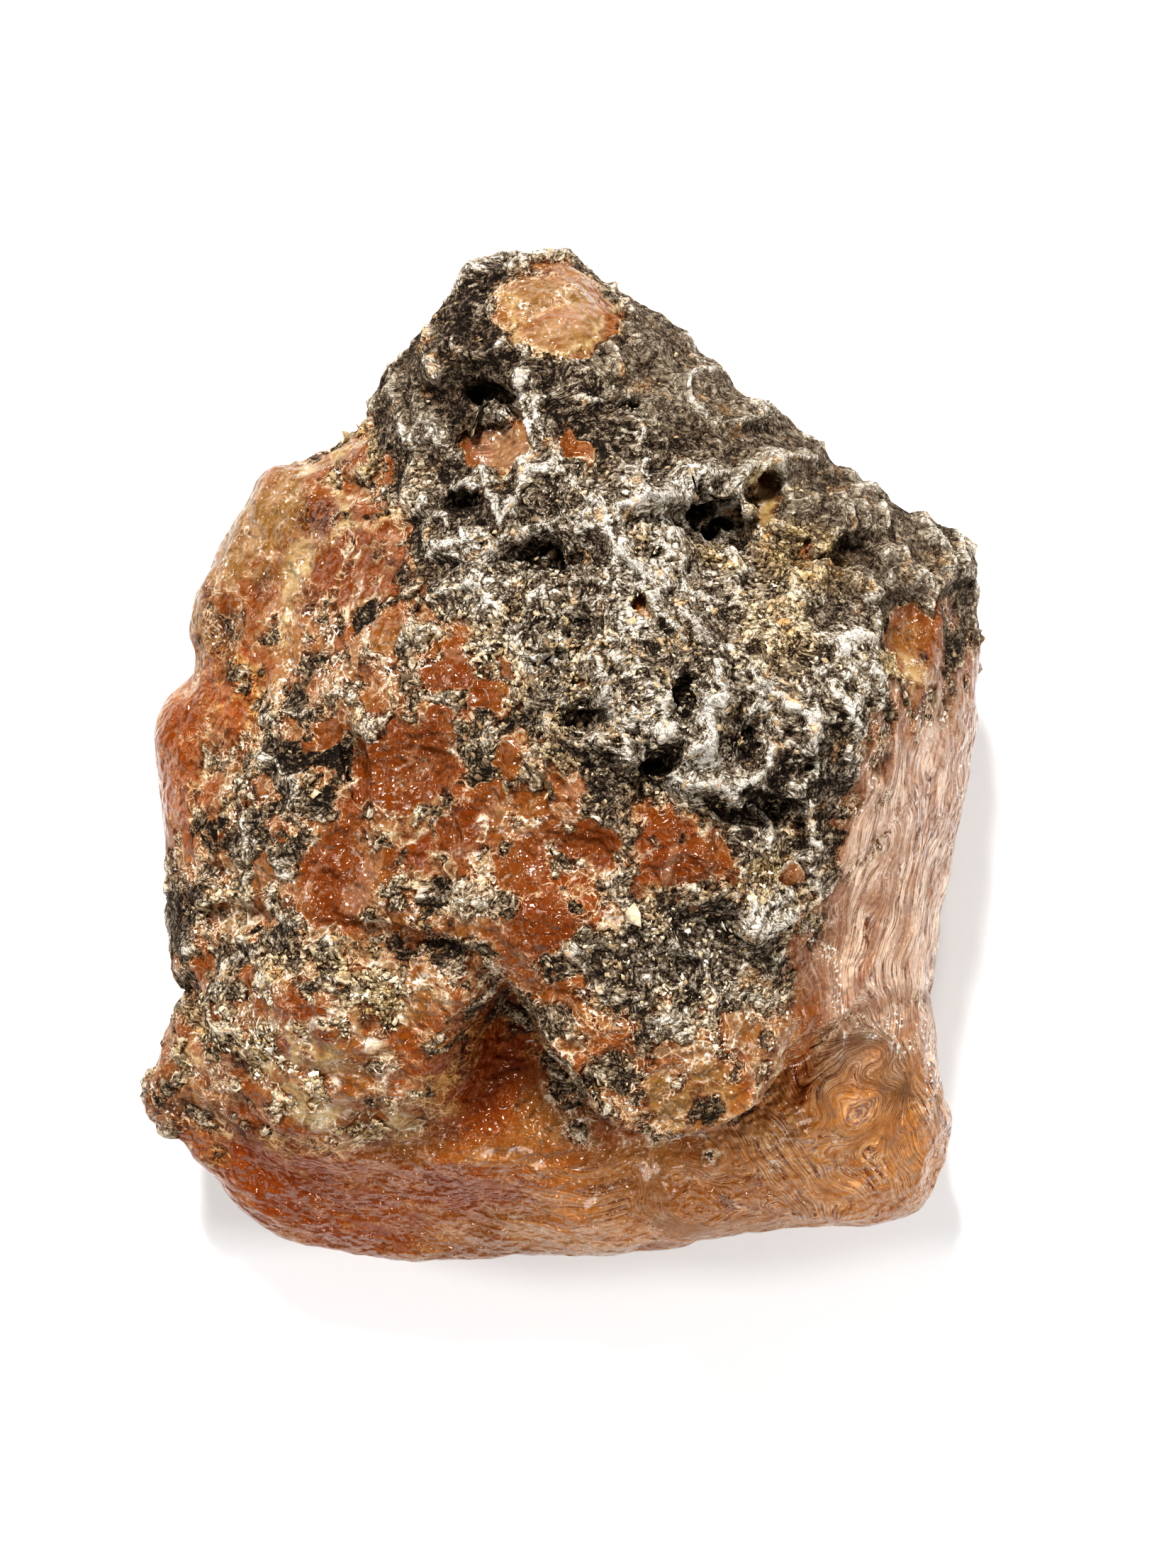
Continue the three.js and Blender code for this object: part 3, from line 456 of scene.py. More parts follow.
class CopalSettings(bpy.types.PropertyGroup):
    """What a user would change about the lump."""

    meridians: bpy.props.IntProperty(
        name="Meridians", description="Strips of mesh round the lump", default=430, min=60
    )
    top_rows: bpy.props.IntProperty(
        name="Top rows", description="Rows of mesh from the crown to the rim", default=190, min=30
    )
    under_rows: bpy.props.IntProperty(
        name="Under rows", description="Rows of mesh from the rim to the base", default=32, min=6
    )
    crust_thickness: bpy.props.FloatProperty(
        name="Crust thickness", description="How far the crust stands on the resin",
        default=0.2 * MM, unit="LENGTH",
    )
    flakes: bpy.props.IntProperty(
        name="Flakes", description="Loose scales on each ring of crust", default=1800, min=0
    )
    flake_thickness: bpy.props.FloatProperty(
        name="Flake thickness", description="Thickness of a loose scale", default=0.04 * MM,
        unit="LENGTH",
    )
    resin_colour: bpy.props.FloatVectorProperty(
        name="Resin", description="Colour of the amber resin", default=(0.27, 0.08, 0.009),
        size=3, subtype="COLOR", min=0, max=1,
    )
    clear_colour: bpy.props.FloatVectorProperty(
        name="Clear resin", description="Tint of the clear resin", default=(1.0, 0.52, 0.18),
        size=3, subtype="COLOR", min=0, max=1,
    )


# ---- Small maths ----------------------------------------------------------------------------


def smoothstep(low, high, x):
    """0 below low, 1 above high, and an S curve between."""
    t = np.clip((x - low) / (high - low), 0, 1)
    return t * t * (3 - 2 * t)


def mixed(a, b, share):
    """a where the share is 0, b where it is 1."""
    return a + (b - a) * share


def rounded_min(a, b, radius):
    """The lower of two heights, rounded where they meet."""
    share = np.clip(0.5 + 0.5 * (b - a) / radius, 0, 1)
    return mixed(b, a, share) - radius * share * (1 - share)


def closed_line(points, count):
    """Points equally spaced along a closed Catmull-Rom curve through the given points."""
    here = np.array(points, dtype=float)
    before, after, later = (np.roll(here, -shift, axis=0) for shift in (-1, 1, 2))
    t = np.linspace(0, 1, OUTLINE_STEPS, endpoint=False)[:, None, None]
    bend = (2 * before - 5 * here + 4 * after - later) * t**2
    twist = (3 * here - before - 3 * after + later) * t**3
    curve = 0.5 * (2 * here + (after - before) * t + bend + twist)
    dense = curve.swapaxes(0, 1).reshape(-1, 3)
    dense = np.vstack([dense, dense[:1]])
    steps = np.linalg.norm(np.diff(dense, axis=0), axis=1)
    length = np.concatenate([[0], np.cumsum(steps)])
    wanted = np.linspace(0, length[-1], count, endpoint=False)
    return np.stack([np.interp(wanted, length, dense[:, axis]) for axis in range(3)], axis=1)


def line_distance(line, x, y):
    """Shortest distance in plan to an open line: the least over its straight stretches."""
    nearest = np.full(x.shape, np.inf)
    for (ax, ay), (bx, by) in zip(line, line[1:]):
        dx, dy = bx - ax, by - ay
        t = np.clip(((x - ax) * dx + (y - ay) * dy) / (dx * dx + dy * dy), 0, 1)
        nearest = np.minimum(nearest, np.hypot(x - ax - t * dx, y - ay - t * dy))
    return nearest


def is_inside(outline, x, y):
    """Whether points lie inside a closed outline: an odd number of crossings."""
    inside = np.zeros(x.shape, dtype=bool)
    for (ax, ay), (bx, by) in zip(outline[-1:] + outline[:-1], outline):
        if ay == by:
            continue
        crosses = ((ay > y) != (by > y)) & (x < ax + (bx - ax) * (y - ay) / (by - ay))
        inside ^= crosses
    return inside


def area_radius(area, x, y):
    """Elliptical distance from the middle of an area, 1 on its edge."""
    (mx, my), (half_x, half_y), turn = area
    cos, sin = np.cos(np.radians(turn)), np.sin(np.radians(turn))
    along = ((x - mx) * cos + (y - my) * sin) / half_x
    across = ((y - my) * cos - (x - mx) * sin) / half_y
    return np.hypot(along, across)


def area_mask(areas, x, y, inner=0.6, outer=1.25):
    """1 inside any of the areas and 0 outside, with a soft edge."""
    mask = np.zeros(x.shape)
    for area in areas:
        mask = np.maximum(mask, 1 - smoothstep(inner, outer, area_radius(area, x, y)))
    return mask


def corner_value(cell):
    """A repeatable number from 0 to 1 for each lattice corner."""
    wave = np.sin(cell[..., 0] * 127.1 + cell[..., 1] * 311.7 + cell[..., 2] * 74.7) * 43758.5453
    return wave - np.floor(wave)


def noise(points):
    """Smooth noise from -1 to 1: corner values of a unit lattice, blended by S curves."""
    cell = np.floor(points)
    part = points - cell
    part = part * part * (3 - 2 * part)
    total = 0
    for corner in np.ndindex(2, 2, 2):
        share = np.prod(np.where(corner, part, 1 - part), axis=-1)
        total = total + share * corner_value(cell + np.array(corner))
    return 2 * total - 1


TURNED = np.array([[0.36, 0.48, -0.8], [-0.8, 0.6, 0.0], [0.48, 0.64, 0.6]])
DIRECTION_COUNT = 1024
DIRECTIONS = np.random.default_rng(7).normal(size=(DIRECTION_COUNT, 3))
DIRECTIONS /= np.linalg.norm(DIRECTIONS, axis=1, keepdims=True)
SCRAMBLE = (73856093, 19349663, 83492791)


def corner_direction(cell):
    """A repeatable direction for each lattice corner, picked by its scrambled numbers."""
    i, j, k = (cell[..., axis] * SCRAMBLE[axis] for axis in range(3))
    return DIRECTIONS[(i ^ j ^ k) % DIRECTION_COUNT]


def fine_noise(points, size, seed=0):
    """Smooth noise from about -1 to 1 with features of a given size: directions at the
    corners of a turned lattice, each dotted with the way to the point, then blended. Each
    seed gives another pattern."""
    place = points @ TURNED / size + 17.3 * (seed + 1)
    cell = np.floor(place).astype(np.int64)
    part = place - cell
    share = part**3 * (part * (6 * part - 15) + 10)
    total = 0
    for corner in np.ndindex(2, 2, 2):
        direction = corner_direction(cell + np.array(corner))
        weight = np.prod(np.where(corner, share, 1 - share), axis=-1)
        total = total + weight * np.sum(direction * (part - corner), axis=-1)
    return 1.7 * total


def cell_walls(points, size, seed):
    """Distance from the walls between random cells, in millimetres: how much farther off
    the second nearest of the scattered cell centres is than the nearest."""
    place = points @ TURNED / size + 5.1 * (seed + 1)
    cell = np.floor(place).astype(np.int64)
    first = np.full(place.shape[:-1], np.inf)
    second = first
    for corner in np.ndindex(3, 3, 3):
        near = cell + np.array(corner) - 1
        centre = near + 0.5 + 0.45 * corner_direction(near)
        far = np.linalg.norm(place - centre, axis=-1)
        second = np.minimum(second, np.maximum(first, far))
        first = np.minimum(first, far)
    return size * (second - first)


# ---- Form -----------------------------------------------------------------------------------


def spot_mean(spots, x, y, reach):
    """The mean of the spots' values, each weighted by a bell curve of its distance."""
    total, weights = 0, 0
    for sx, sy, value in spots:
        far = ((x - sx) ** 2 + (y - sy) ** 2) / (2 * reach**2)
        weight = np.exp(-far) + 1e-9 / (1 + far)
        total = total + weight * value
        weights = weights + weight
    return total / weights


def crest_height(crests, x, y):
    """The tallest crest at a point, and how near it is to a crest's edge from 0 to 1. Each
    crest is a sharp, hollow-sided cusp on a broad rounded swell."""
    tallest, nearest = np.zeros(x.shape), np.zeros(x.shape)
    for _, height, width, line in crests:
        far = line_distance(line, x, y) / width
        cusp = np.exp(-(far**CREST_SHARPNESS))
        swell = np.exp(-((far / SWELL_WIDTH) ** 2))
        tallest = np.maximum(tallest, height * mixed(cusp, swell, SWELL_SHARE))
        nearest = np.maximum(nearest, cusp)
    return tallest, nearest


def hollow_depth(x, y):
    """The hollows at a point, added up: each has a flat floor and steep walls."""
    depth = np.zeros(x.shape)
    for _, middle, size, turn, deepest in HOLLOWS:
        depth += deepest * np.exp(-(area_radius((middle, size, turn), x, y) ** HOLLOW_STEEPNESS))
    return depth


def top_height(x, y):
    """Height of the resin's top: two sets of spot heights joined at the lip, cut by the east
    face, with the folds added and the hollows taken away."""
    side = np.where(is_inside(LIP + NORTH_OF_LIP, x, y), 1, -1)
    step = np.interp(x, STEP_PLACES, STEP_WIDTHS)
    above_lip = smoothstep(-1, 1, side * line_distance(LIP, x, y) / step)
    ledge = spot_mean(LEDGE_SPOTS, x, y, SPOT_REACH)
    upper = spot_mean(UPPER_SPOTS, x, y, SPOT_REACH)
    form = mixed(ledge, upper, above_lip)
    face = EAST_FACE_AT[2] + EAST_FACE_SLOPE[0] * (x - EAST_FACE_AT[0])
    face = face + EAST_FACE_SLOPE[1] * (y - EAST_FACE_AT[1])
    return rounded_min(form, face, FACE_BLEND) + crest_height(FOLDS, x, y)[0] - hollow_depth(x, y)


def top_points(rims, shares):
    """Points on the top, at shares of the way from the crown point to each rim point.
    The height eases from the top's to the rim's by the root of 1 - share to the twelfth."""
    x = mixed(CROWN_POINT[0], rims[:, None, 0], shares)
    y = mixed(CROWN_POINT[1], rims[:, None, 1], shares)
    rise = np.sqrt(1 - np.minimum(shares, 1) ** RIM_ROUNDING)
    return np.stack([x, y, mixed(rims[:, None, 2], top_height(x, y), rise)], axis=-1)


def under_points(rims, rows):
    """Points on the underside: a quarter ellipse from each rim point in to the flat base."""
    turn = np.arange(1, rows + 1) / rows * (np.pi / 2)
    shares = mixed(BASE_SHARE, 1, np.cos(turn))[None, :]
    out = np.maximum(0, (shares - BASE_SHARE) / (1 - BASE_SHARE))
    x = mixed(CROWN_POINT[0], rims[:, None, 0], shares)
    y = mixed(CROWN_POINT[1], rims[:, None, 1], shares)
    return np.stack([x, y, rims[:, None, 2] * (1 - np.sqrt(1 - out * out))], axis=-1)


def row_shares(rims, wanted):
    """Where each meridian's rows lie: 0 at the crown point and 1 at the rim, spaced partly
    by plan and partly by length along the skin."""
    walk = np.linspace(0, 1, WALK_STEPS + 1)
    points = top_points(rims, np.broadcast_to(walk, (len(rims), WALK_STEPS + 1)))
    steps = np.linalg.norm(np.diff(points, axis=1), axis=-1)
    steps = blurred(steps[..., None], 3)[..., 0]
    place = np.cumsum(steps, axis=1) / np.sum(steps, axis=1, keepdims=True)
    place = np.concatenate([np.zeros((len(rims), 1)), place], axis=1)
    place = mixed(walk[None, :], place, EVEN_SPACING)
    offset = 2 * np.arange(len(rims))[:, None]
    flat_walk = np.broadcast_to(walk, place.shape).ravel()
    shares = np.interp((wanted[None, :] + offset).ravel(), (place + offset).ravel(), flat_walk)
    return shares.reshape(len(rims), len(wanted))


def blurred(grid, reach):
    """Each grid point's mean with its neighbours, round the lump and along the meridians."""
    for _ in range(reach):
        grid = (np.roll(grid, 1, axis=0) + grid + np.roll(grid, -1, axis=0)) / 3
        before = np.concatenate([grid[:, :1], grid[:, :-1]], axis=1)
        after = np.concatenate([grid[:, 1:], grid[:, -1:]], axis=1)
        grid = (before + grid + after) / 3
    return grid


def outward(grid):
    """Unit directions out of the skin, from each point's neighbours on the grid."""
    down = np.gradient(grid, axis=1)
    across = np.roll(grid, -1, axis=0) - np.roll(grid, 1, axis=0)
    normal = np.cross(across, down)
    return normal / np.maximum(np.linalg.norm(normal, axis=-1, keepdims=True), 1e-9)


def coarse_relief(points):
    """Rounded lumps, and winding crests with rounded dips between them, in millimetres."""
    lumps = noise(points / LUMP_SIZE)
    knobs = 0.6 - 2 * np.abs(noise(points / KNOB_SIZE))
    smooth = [(middle, size, 0) for middle, size in SMOOTH_AREAS]
    bare = area_mask(smooth, points[..., 0], points[..., 1], 0.7, 1.2)
    share = mixed(1, SMOOTH_RELIEF, bare) * smoothstep(RELIEF_START, RELIEF_FULL, points[..., 2])
    return (LUMP_DEPTH * lumps + KNOB_DEPTH * knobs) * share


def lines(points, size, seed, thinness):
    """Thin winding lines, 1 on the line and 0 away from it, where noise crosses zero."""
    return np.exp(-thinness * np.abs(fine_noise(points, size, seed)))


def ridges(points, size, seed, width):
    """Winding ridges with rounded tops, 1 along them, where noise crosses zero."""
    return 1 / (1 + (fine_noise(points, size, seed) / width) ** 2)


def warped(points, size, reach):
    """The points pushed about by noise, so that patterns on them wander."""
    push = [fine_noise(points, size, seed) for seed in (11, 12, 13)]
    return points + reach * np.stack(push, axis=-1)


def wandering(points, reach, size, seed):
    """The points' places in plan pushed about by noise, so that edges on them are ragged."""
    return [points[..., axis] + reach * fine_noise(points, size, seed + axis) for axis in (0, 1)]


def crust_relief(points, web):
    """Weathered crust: a net of winding ridges, cups between thin walls where there is a web,
    layered scales with broken edges, fissures between them, and grit."""
    loose = warped(points, LOOSE_SIZE, LOOSE_REACH)
    net = ridges(loose, NET_SIZE, NET_SEED, 0.26)
    twigs = ridges(loose, TWIG_SIZE, TWIG_SEED, 0.22)
    form = 1.2 * net + 0.4 * twigs * (0.4 + net) + 0.5 * fine_noise(loose, 3.4, 16) - 0.75
    uneven = 0.55 + 0.6 * fine_noise(points, 2.6, 10)
    walls = 0.4 * uneven * np.exp(-cell_walls(loose, 2.6, 1) / 0.25)
    layers = 5 * fine_noise(loose, 2.6, 3) + 1.2 * fine_noise(points, 0.9, 4)
    whole = np.floor(layers)
    scales = 0.2 * (smoothstep(0.75, 1, layers - whole) + whole - layers + 0.5)
    fissures = 0.2 * lines(loose, 1.7, 5, 16) + 0.1 * lines(loose, 0.9, 6, 10)
    grit = 0.05 * fine_noise(points, 0.5, 7)
    return form * (1 - 0.45 * web) + web * walls + scales - fissures + grit


def resin_relief(points, wrinkled):
    """Soft shell-like waves of a broken resin face, and wrinkles where it is weathered."""
    waves = 0.2 * fine_noise(points, 2.6, 8) + 0.1 * fine_noise(points, 1.1, 9)
    creases = lines(warped(points, 1.8, 0.6), 1.6, 14, 9)
    return waves - 0.22 * wrinkled * creases


# ---- Masks ----------------------------------------------------------------------------------


def crust_share(points, under):
    """Share of crust round each point, from 0 to 1: the mean of the spots, near ones most."""
    x, y = wandering(points, 0.5, 1.6, 21)
    return mixed(spot_mean(COVER, x, y, COVER_REACH), UNDERSIDE_COVER, under)


def crust_level(points, share, under):
    """How far the share of crust is above chance: there is crust above 0, frosted resin just
    below it and clear resin well below it."""
    chance = 0.5 + 0.7 * fine_noise(points, 2.4, 23) + 0.45 * fine_noise(points, 1.0, 24)
    chance = chance + 0.2 * fine_noise(points, 0.45, 25)
    bare = 1 - smoothstep(0, 0.2, share)
    level = share + 0.35 * smoothstep(0.6, 1, share) - np.maximum(chance, 0.15) - 0.3 * bare
    window = area_mask(WINDOWS, *wandering(points, 0.6, 1.3, 26), 0.65, 1.35)
    edge = np.exp(-((line_distance(LIP, points[..., 0], points[..., 1]) / LIP_FROSTING) ** 2))
    level = level - 1.4 * window * (1 - under)
    return np.maximum(level, np.minimum(level + 0.6 * edge * (1 - under), -0.22))


def tint_mask(areas, x, y):
    """The strongest of the areas at each place in plan, with soft edges."""
    mask = np.zeros(x.shape)
    for middle, size, turn, strength in areas:
        inside = 1 - smoothstep(0.5, 1.3, area_radius((middle, size, turn), x, y))
        mask = np.maximum(mask, strength * inside)
    return mask


def hollow_share(points, under):
    """How deep in a hollow each point lies, from 0 to 1."""
    return smoothstep(0.4, 2.2, hollow_depth(points[..., 0], points[..., 1])) * (1 - under)


def cavity(grid, normals, reach):
    """How far each point stands out of, or lies below, the mean of its surroundings."""
    return np.sum((grid - blurred(grid, reach)) * normals, axis=-1)


# ---- Meshes ---------------------------------------------------------------------------------


def skin_faces(meridians, rows, crown, base):
    """Quads between neighbouring meridians, with a fan at the crown and one at the base."""
    here = np.arange(meridians) * rows
    after = np.roll(here, -1)
    row = np.arange(rows - 1)
    corners = [here[:, None] + row, after[:, None] + row, after[:, None] + row + 1]
    quads = np.stack(corners + [here[:, None] + row + 1], axis=-1).reshape(-1, 4)
    top_fan = np.stack([np.full(meridians, crown), after, here], axis=-1)
    base_fan = np.stack([np.full(meridians, base), here + rows - 1, after + rows - 1], axis=-1)
    return quads, np.vstack([top_fan, base_fan])


def covered_faces(level):
    """Quads of a ring between neighbouring meridians, kept where there is any crust, with
    the points that they use numbered again from zero."""
    meridians, rows = level.shape
    here = np.arange(meridians)[:, None] * rows + np.arange(rows - 1)
    after = np.roll(here, -1, axis=0)
    quads = np.stack([here, after, after + 1, here + 1], axis=-1).reshape(-1, 4)
    quads = quads[level.ravel()[quads].max(axis=1) > CRUST_EDGE]
    used = np.unique(quads)
    renumbered = np.zeros(meridians * rows, dtype=np.int64)
    renumbered[used] = np.arange(len(used))
    return used, renumbered[quads]


def mesh_from_arrays(name, vertices, quads, triangles):
    """A mesh datablock from arrays of vertices, four-cornered and three-cornered faces."""
    mesh = bpy.data.meshes.new(name)
    loops = np.concatenate([quads.ravel(), triangles.ravel()]).astype(np.int32)
    starts = np.concatenate([
        np.arange(len(quads)) * 4,
        len(quads) * 4 + np.arange(len(triangles)) * 3,
    ]).astype(np.int32)
    mesh.vertices.add(len(vertices))
    mesh.vertices.foreach_set("co", (vertices * MM).astype(np.float32).ravel())
    mesh.loops.add(len(loops))
    mesh.loops.foreach_set("vertex_index", loops)
    mesh.polygons.add(len(starts))
    mesh.polygons.foreach_set("loop_start", starts)
    mesh.polygons.foreach_set("use_smooth", np.ones(len(starts), dtype=bool))
    mesh.update(calc_edges=True)
    mesh.validate()
    return mesh


def add_number(mesh, name, values):
    """Stores one number for each vertex, for the materials."""
    mesh.attributes.new(name, "FLOAT", "POINT")
    mesh.attributes[name].data.foreach_set("value", values.astype(np.float32).ravel())


def add_object(name, mesh, material):
    """A new object at the origin with one material."""
    thing = bpy.data.objects.new(name, mesh)
    mesh.materials.append(material)
    bpy.context.scene.collection.objects.link(thing)
    return thing


def coarse_skin(grid, spacing):
    """The grid moved out by the coarse relief, along directions eased over a millimetre."""
    directions = outward(blurred(grid, max(1, round(0.5 / spacing))))
    return grid + directions * coarse_relief(grid)[..., None]


def vein_mask(points):
    """1 along the veins, with ragged edges."""
    x, y = wandering(points, 0.5, 1.2, 43)
    nearest = np.min([line_distance(line, x, y) for line in VEINS], axis=0)
    return np.exp(-((nearest / VEIN_WIDTH) ** 2))


def flow_height(points):
    """A number in millimetres that is the same all along each flow line of the resin: a
    height over X and one over Y added up, and distance from the middle inside the loops."""
    x, y = wandering(points, 1.5, 7, 51)
    x = x + 0.45 * fine_noise(points, 2.6, 53)
    y = y + 0.45 * fine_noise(points, 2.6, 54)
    height = np.interp(x, *FLOW_OVER_X) + np.interp(y, *FLOW_OVER_Y)
    for loop in FLOW_LOOPS:
        radius = area_radius(loop, x, y) + 0.3 * fine_noise(points, 2.2, 55)
        height = mixed(2.2 * radius, height, smoothstep(0.6, 1.7, radius))
    return height


def weave_height(points):
    """A number in millimetres that is the same all along each fibre of the crust, so that
    the fibres run beside its ridges."""
    loose = warped(points, LOOSE_SIZE, LOOSE_REACH)
    net = fine_noise(loose, NET_SIZE, NET_SEED)
    return 2.5 * net + 0.9 * fine_noise(loose, TWIG_SIZE, TWIG_SEED)


def clouds(points, size, seed):
    """Cloudy noise from about 0 to 1 with three sizes of detail."""
    loose = warped(points, size, 0.25 * size)
    total = fine_noise(loose, size, seed) + 0.5 * fine_noise(loose, 0.45 * size, seed + 1)
    return 0.5 + 0.5 * (total + 0.25 * fine_noise(loose, 0.2 * size, seed + 2))


def skin_masks(grid, normals, spacing, under):
    """What the materials read at each point: how far it stands out of its surroundings over
    a short and a long reach, and the tinted areas."""
    masks = {
        "crest": cavity(grid, normals, round(0.45 / spacing)),
        "bulge": cavity(grid, normals, round(2.4 / spacing)),
        "hollow": hollow_share(grid, under),
    }
    x, y = wandering(grid, 0.7, 1.9, 41)
    for tint, areas in TINTS.items():
        masks[tint] = tint_mask(areas, x, y) * (1 - under)
    masks["vein"] = vein_mask(grid) * (1 - under)
    masks["flow_height"] = flow_height(grid)
    masks["weave_height"] = weave_height(grid)
    masks["cloud"] = clouds(grid, 4.0, 61)
    masks["patch"] = clouds(grid, 2.0, 64)
    return masks


def lump_surface(settings):
    """The lump's grid of points and its masks.

    Each meridian runs from the crown point over the top to the rim and under to the flat
    base. The coarse relief moves every point outwards, then the fine relief is added. The
    resin dips where a ring of crust lies on it, and takes on the crust's own relief near the
    rim and below, where the rings end."""
    rims = closed_line(RIM, settings.meridians)
    wanted = np.arange(1, settings.top_rows + 1) / settings.top_rows
    top = top_points(rims, row_shares(rims, wanted))
    grid = np.concatenate([top, under_points(rims, settings.under_rows)], axis=1)
    past_rim = np.arange(grid.shape[1])[None, :] - settings.top_rows + np.zeros((len(grid), 1))
    under = smoothstep(0, UNDER_ROWS, past_rim)
    grid = coarse_skin(grid, BODY_SPACING)
    share = crust_share(grid, under)
    level = crust_level(grid, share, under)
    crust = smoothstep(*BODY_CRUST_LEVELS, level)
    fine = mixed(resin_relief(grid, smoothstep(-0.6, -0.1, level)), -CRUST_DIP, crust)
    relief = crust_relief(grid, 0.4)
    fine = mixed(fine, 0.6 * relief, crust * smoothstep(*BODY_CRUST_ROWS, past_rim))
    lifted = smoothstep(0.3, 3, grid[..., 2])
    grid = grid + outward(grid) * (fine * lifted)[..., None]
    masks = skin_masks(grid, outward(grid), BODY_SPACING, under)
    masks["level"] = level
    masks["rise"] = relief
    return grid, masks


def crust_surface(meridians, wanted, settings):
    """One ring of the crust: a grid of points and its masks.

    It follows the lump's own skin. Where the cover is full it stands off by the crust's
    thickness, its crests and its relief. It dips into the resin where the cover ends, and
    twice as far at the rim, where the last ring ends."""
    rims = closed_line(RIM, meridians)
    grid = coarse_skin(top_points(rims, row_shares(rims, wanted)), CRUST_SPACING)
    bare = np.zeros(grid.shape[:2])
    share = crust_share(grid, bare)
    level = crust_level(grid, share, bare)
    crust = smoothstep(*RING_CRUST_LEVELS, level)
    thick = smoothstep(0.45, 0.95, share)
    web = area_mask(WEB_AREAS, grid[..., 0], grid[..., 1])
    wander = [
        CREST_WANDER * (fine_noise(grid, 1.5, seed) + 0.5 * fine_noise(grid, 0.6, seed + 3))
        for seed in (31, 32)
    ]
    crests, edges = crest_height(CRESTS, grid[..., 0] + wander[0], grid[..., 1] + wander[1])
    crests = crests * (1 + 0.5 * fine_noise(grid, 2.0, 33)) * crust
    directions = outward(blurred(grid, 12))
    rough = mixed(0.3, 1, thick) * (1 + 0.8 * hollow_share(grid, bare))
    rough = rough * mixed(STEEP_RELIEF, 1, np.clip(directions[..., 2], 0, 1))
    relief = crust_relief(grid, web)
    proud = mixed(0.3, 1, thick) * settings.crust_thickness / MM + rough * relief
    ending = smoothstep(*CRUST_ENDS, wanted)[None, :]
    proud = mixed(mixed(-CRUST_DIP, proud, crust), -2 * CRUST_DIP, ending)
    grid = grid + directions * proud[..., None]
    grid[..., 2] += crests * (1 - ending)
    masks = skin_masks(grid, outward(grid), CRUST_SPACING, bare)
    masks["level"] = level
    masks["spine"] = smoothstep(0.4, 0.9, edges)
    masks["rise"] = relief + 0.25 * crests
    return grid, masks


def flake_surface(grid, masks, count, settings):
    """Loose scales: thin bent plates with ragged rims, lying at random on the border of the
    crust.

    Each plate is a centre and a rim of points on two levels. A rim point at an angle a stands
    a random radius away, about twice as far along as across the plate, and the plate sags with
    the square of that radius. Its own axes are the skin's outward direction, leant over by a
    random slope, and two directions across it."""
    draw = np.random.default_rng(FLAKE_SEED)
    level = masks["level"].ravel()
    light = 0.1 + 0.5 * masks["pale"].ravel() + 1.5 * masks["cream"].ravel()
    border = (np.exp(-((level / 0.25) ** 2)) + 0.2 * (level > 0)) * light
    chosen = draw.choice(level.size, count, replace=False, p=border / border.sum())
    up = outward(blurred(grid, 6)).reshape(-1, 3)[chosen]
    up = up + FLAKE_LEAN * draw.normal(size=(count, 3))
    up = up / np.linalg.norm(up, axis=1, keepdims=True)
    along = np.cross(up, draw.normal(size=(count, 3)))
    along = along / np.linalg.norm(along, axis=1, keepdims=True)
    across = np.cross(up, along)
    size = FLAKE_SIZE * np.exp(FLAKE_SPREAD * draw.normal(size=(count, 1)))
    angle = np.linspace(0, 2 * np.pi, FLAKE_SIDES, endpoint=False)[None, :]
    radius = size * (1 + FLAKE_RAGGED * draw.normal(size=(count, FLAKE_SIDES)))
    sag = -FLAKE_SAG * radius**2 / size
    rim = (
        along[:, None] * (radius * np.cos(angle))[..., None]
        + across[:, None] * (FLAKE_NARROW * radius * np.sin(angle))[..., None]
        + up[:, None] * sag[..., None]
    )
    middle = grid.reshape(-1, 3)[chosen][:, None]
    thick = settings.flake_thickness / MM * up[:, None]
    parts = [middle + thick, middle + rim + thick, middle + rim, middle]
    points = np.concatenate(parts, axis=1) + FLAKE_LIFT * thick
    tone = np.repeat(draw.random(count), points.shape[1])
    pale = np.repeat(masks["pale"].ravel()[chosen], points.shape[1])
    return points, tone, pale


def flake_faces(count):
    """Triangles of every plate: two fans and the strip round its rim."""
    top = np.arange(FLAKE_SIDES) + 1
    top_after = np.roll(top, -1)
    low, low_after = top + FLAKE_SIDES, top_after + FLAKE_SIDES
    last = np.full(FLAKE_SIDES, 2 * FLAKE_SIDES + 1)
    one = np.vstack([
        np.stack([0 * top, top, top_after], axis=1),
        np.stack([last, low_after, low], axis=1),
        np.stack([top, low, low_after], axis=1),
        np.stack([top, low_after, top_after], axis=1),
    ])
    each = 2 * FLAKE_SIDES + 2
    return (one[None] + each * np.arange(count)[:, None, None]).reshape(-1, 3)


def close_poles(grid, masks):
    """The grid's points and masks as flat arrays, with the crown and base points added."""
    crown = grid[:, 0].mean(axis=0)
    base = np.array([*CROWN_POINT, 0.0])
    vertices = np.vstack([grid.reshape(-1, 3), crown, base])
    flat = {}
    for name, mask in masks.items():
        flat[name] = np.concatenate([mask.ravel(), [mask[:, 0].mean(), mask[:, -1].mean()]])
    return vertices, flat


def place_on_solid():
    """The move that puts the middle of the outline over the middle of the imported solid, and
    the base at its lowest point."""
    low, high = (np.array(corner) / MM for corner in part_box(NODE))
    outline = closed_line(RIM, OUTLINE_POINTS)
    move = (low + high) / 2 - (outline.min(axis=0) + outline.max(axis=0)) / 2
    move[2] = low[2]
    return move


# ---- Materials ------------------------------------------------------------------------------


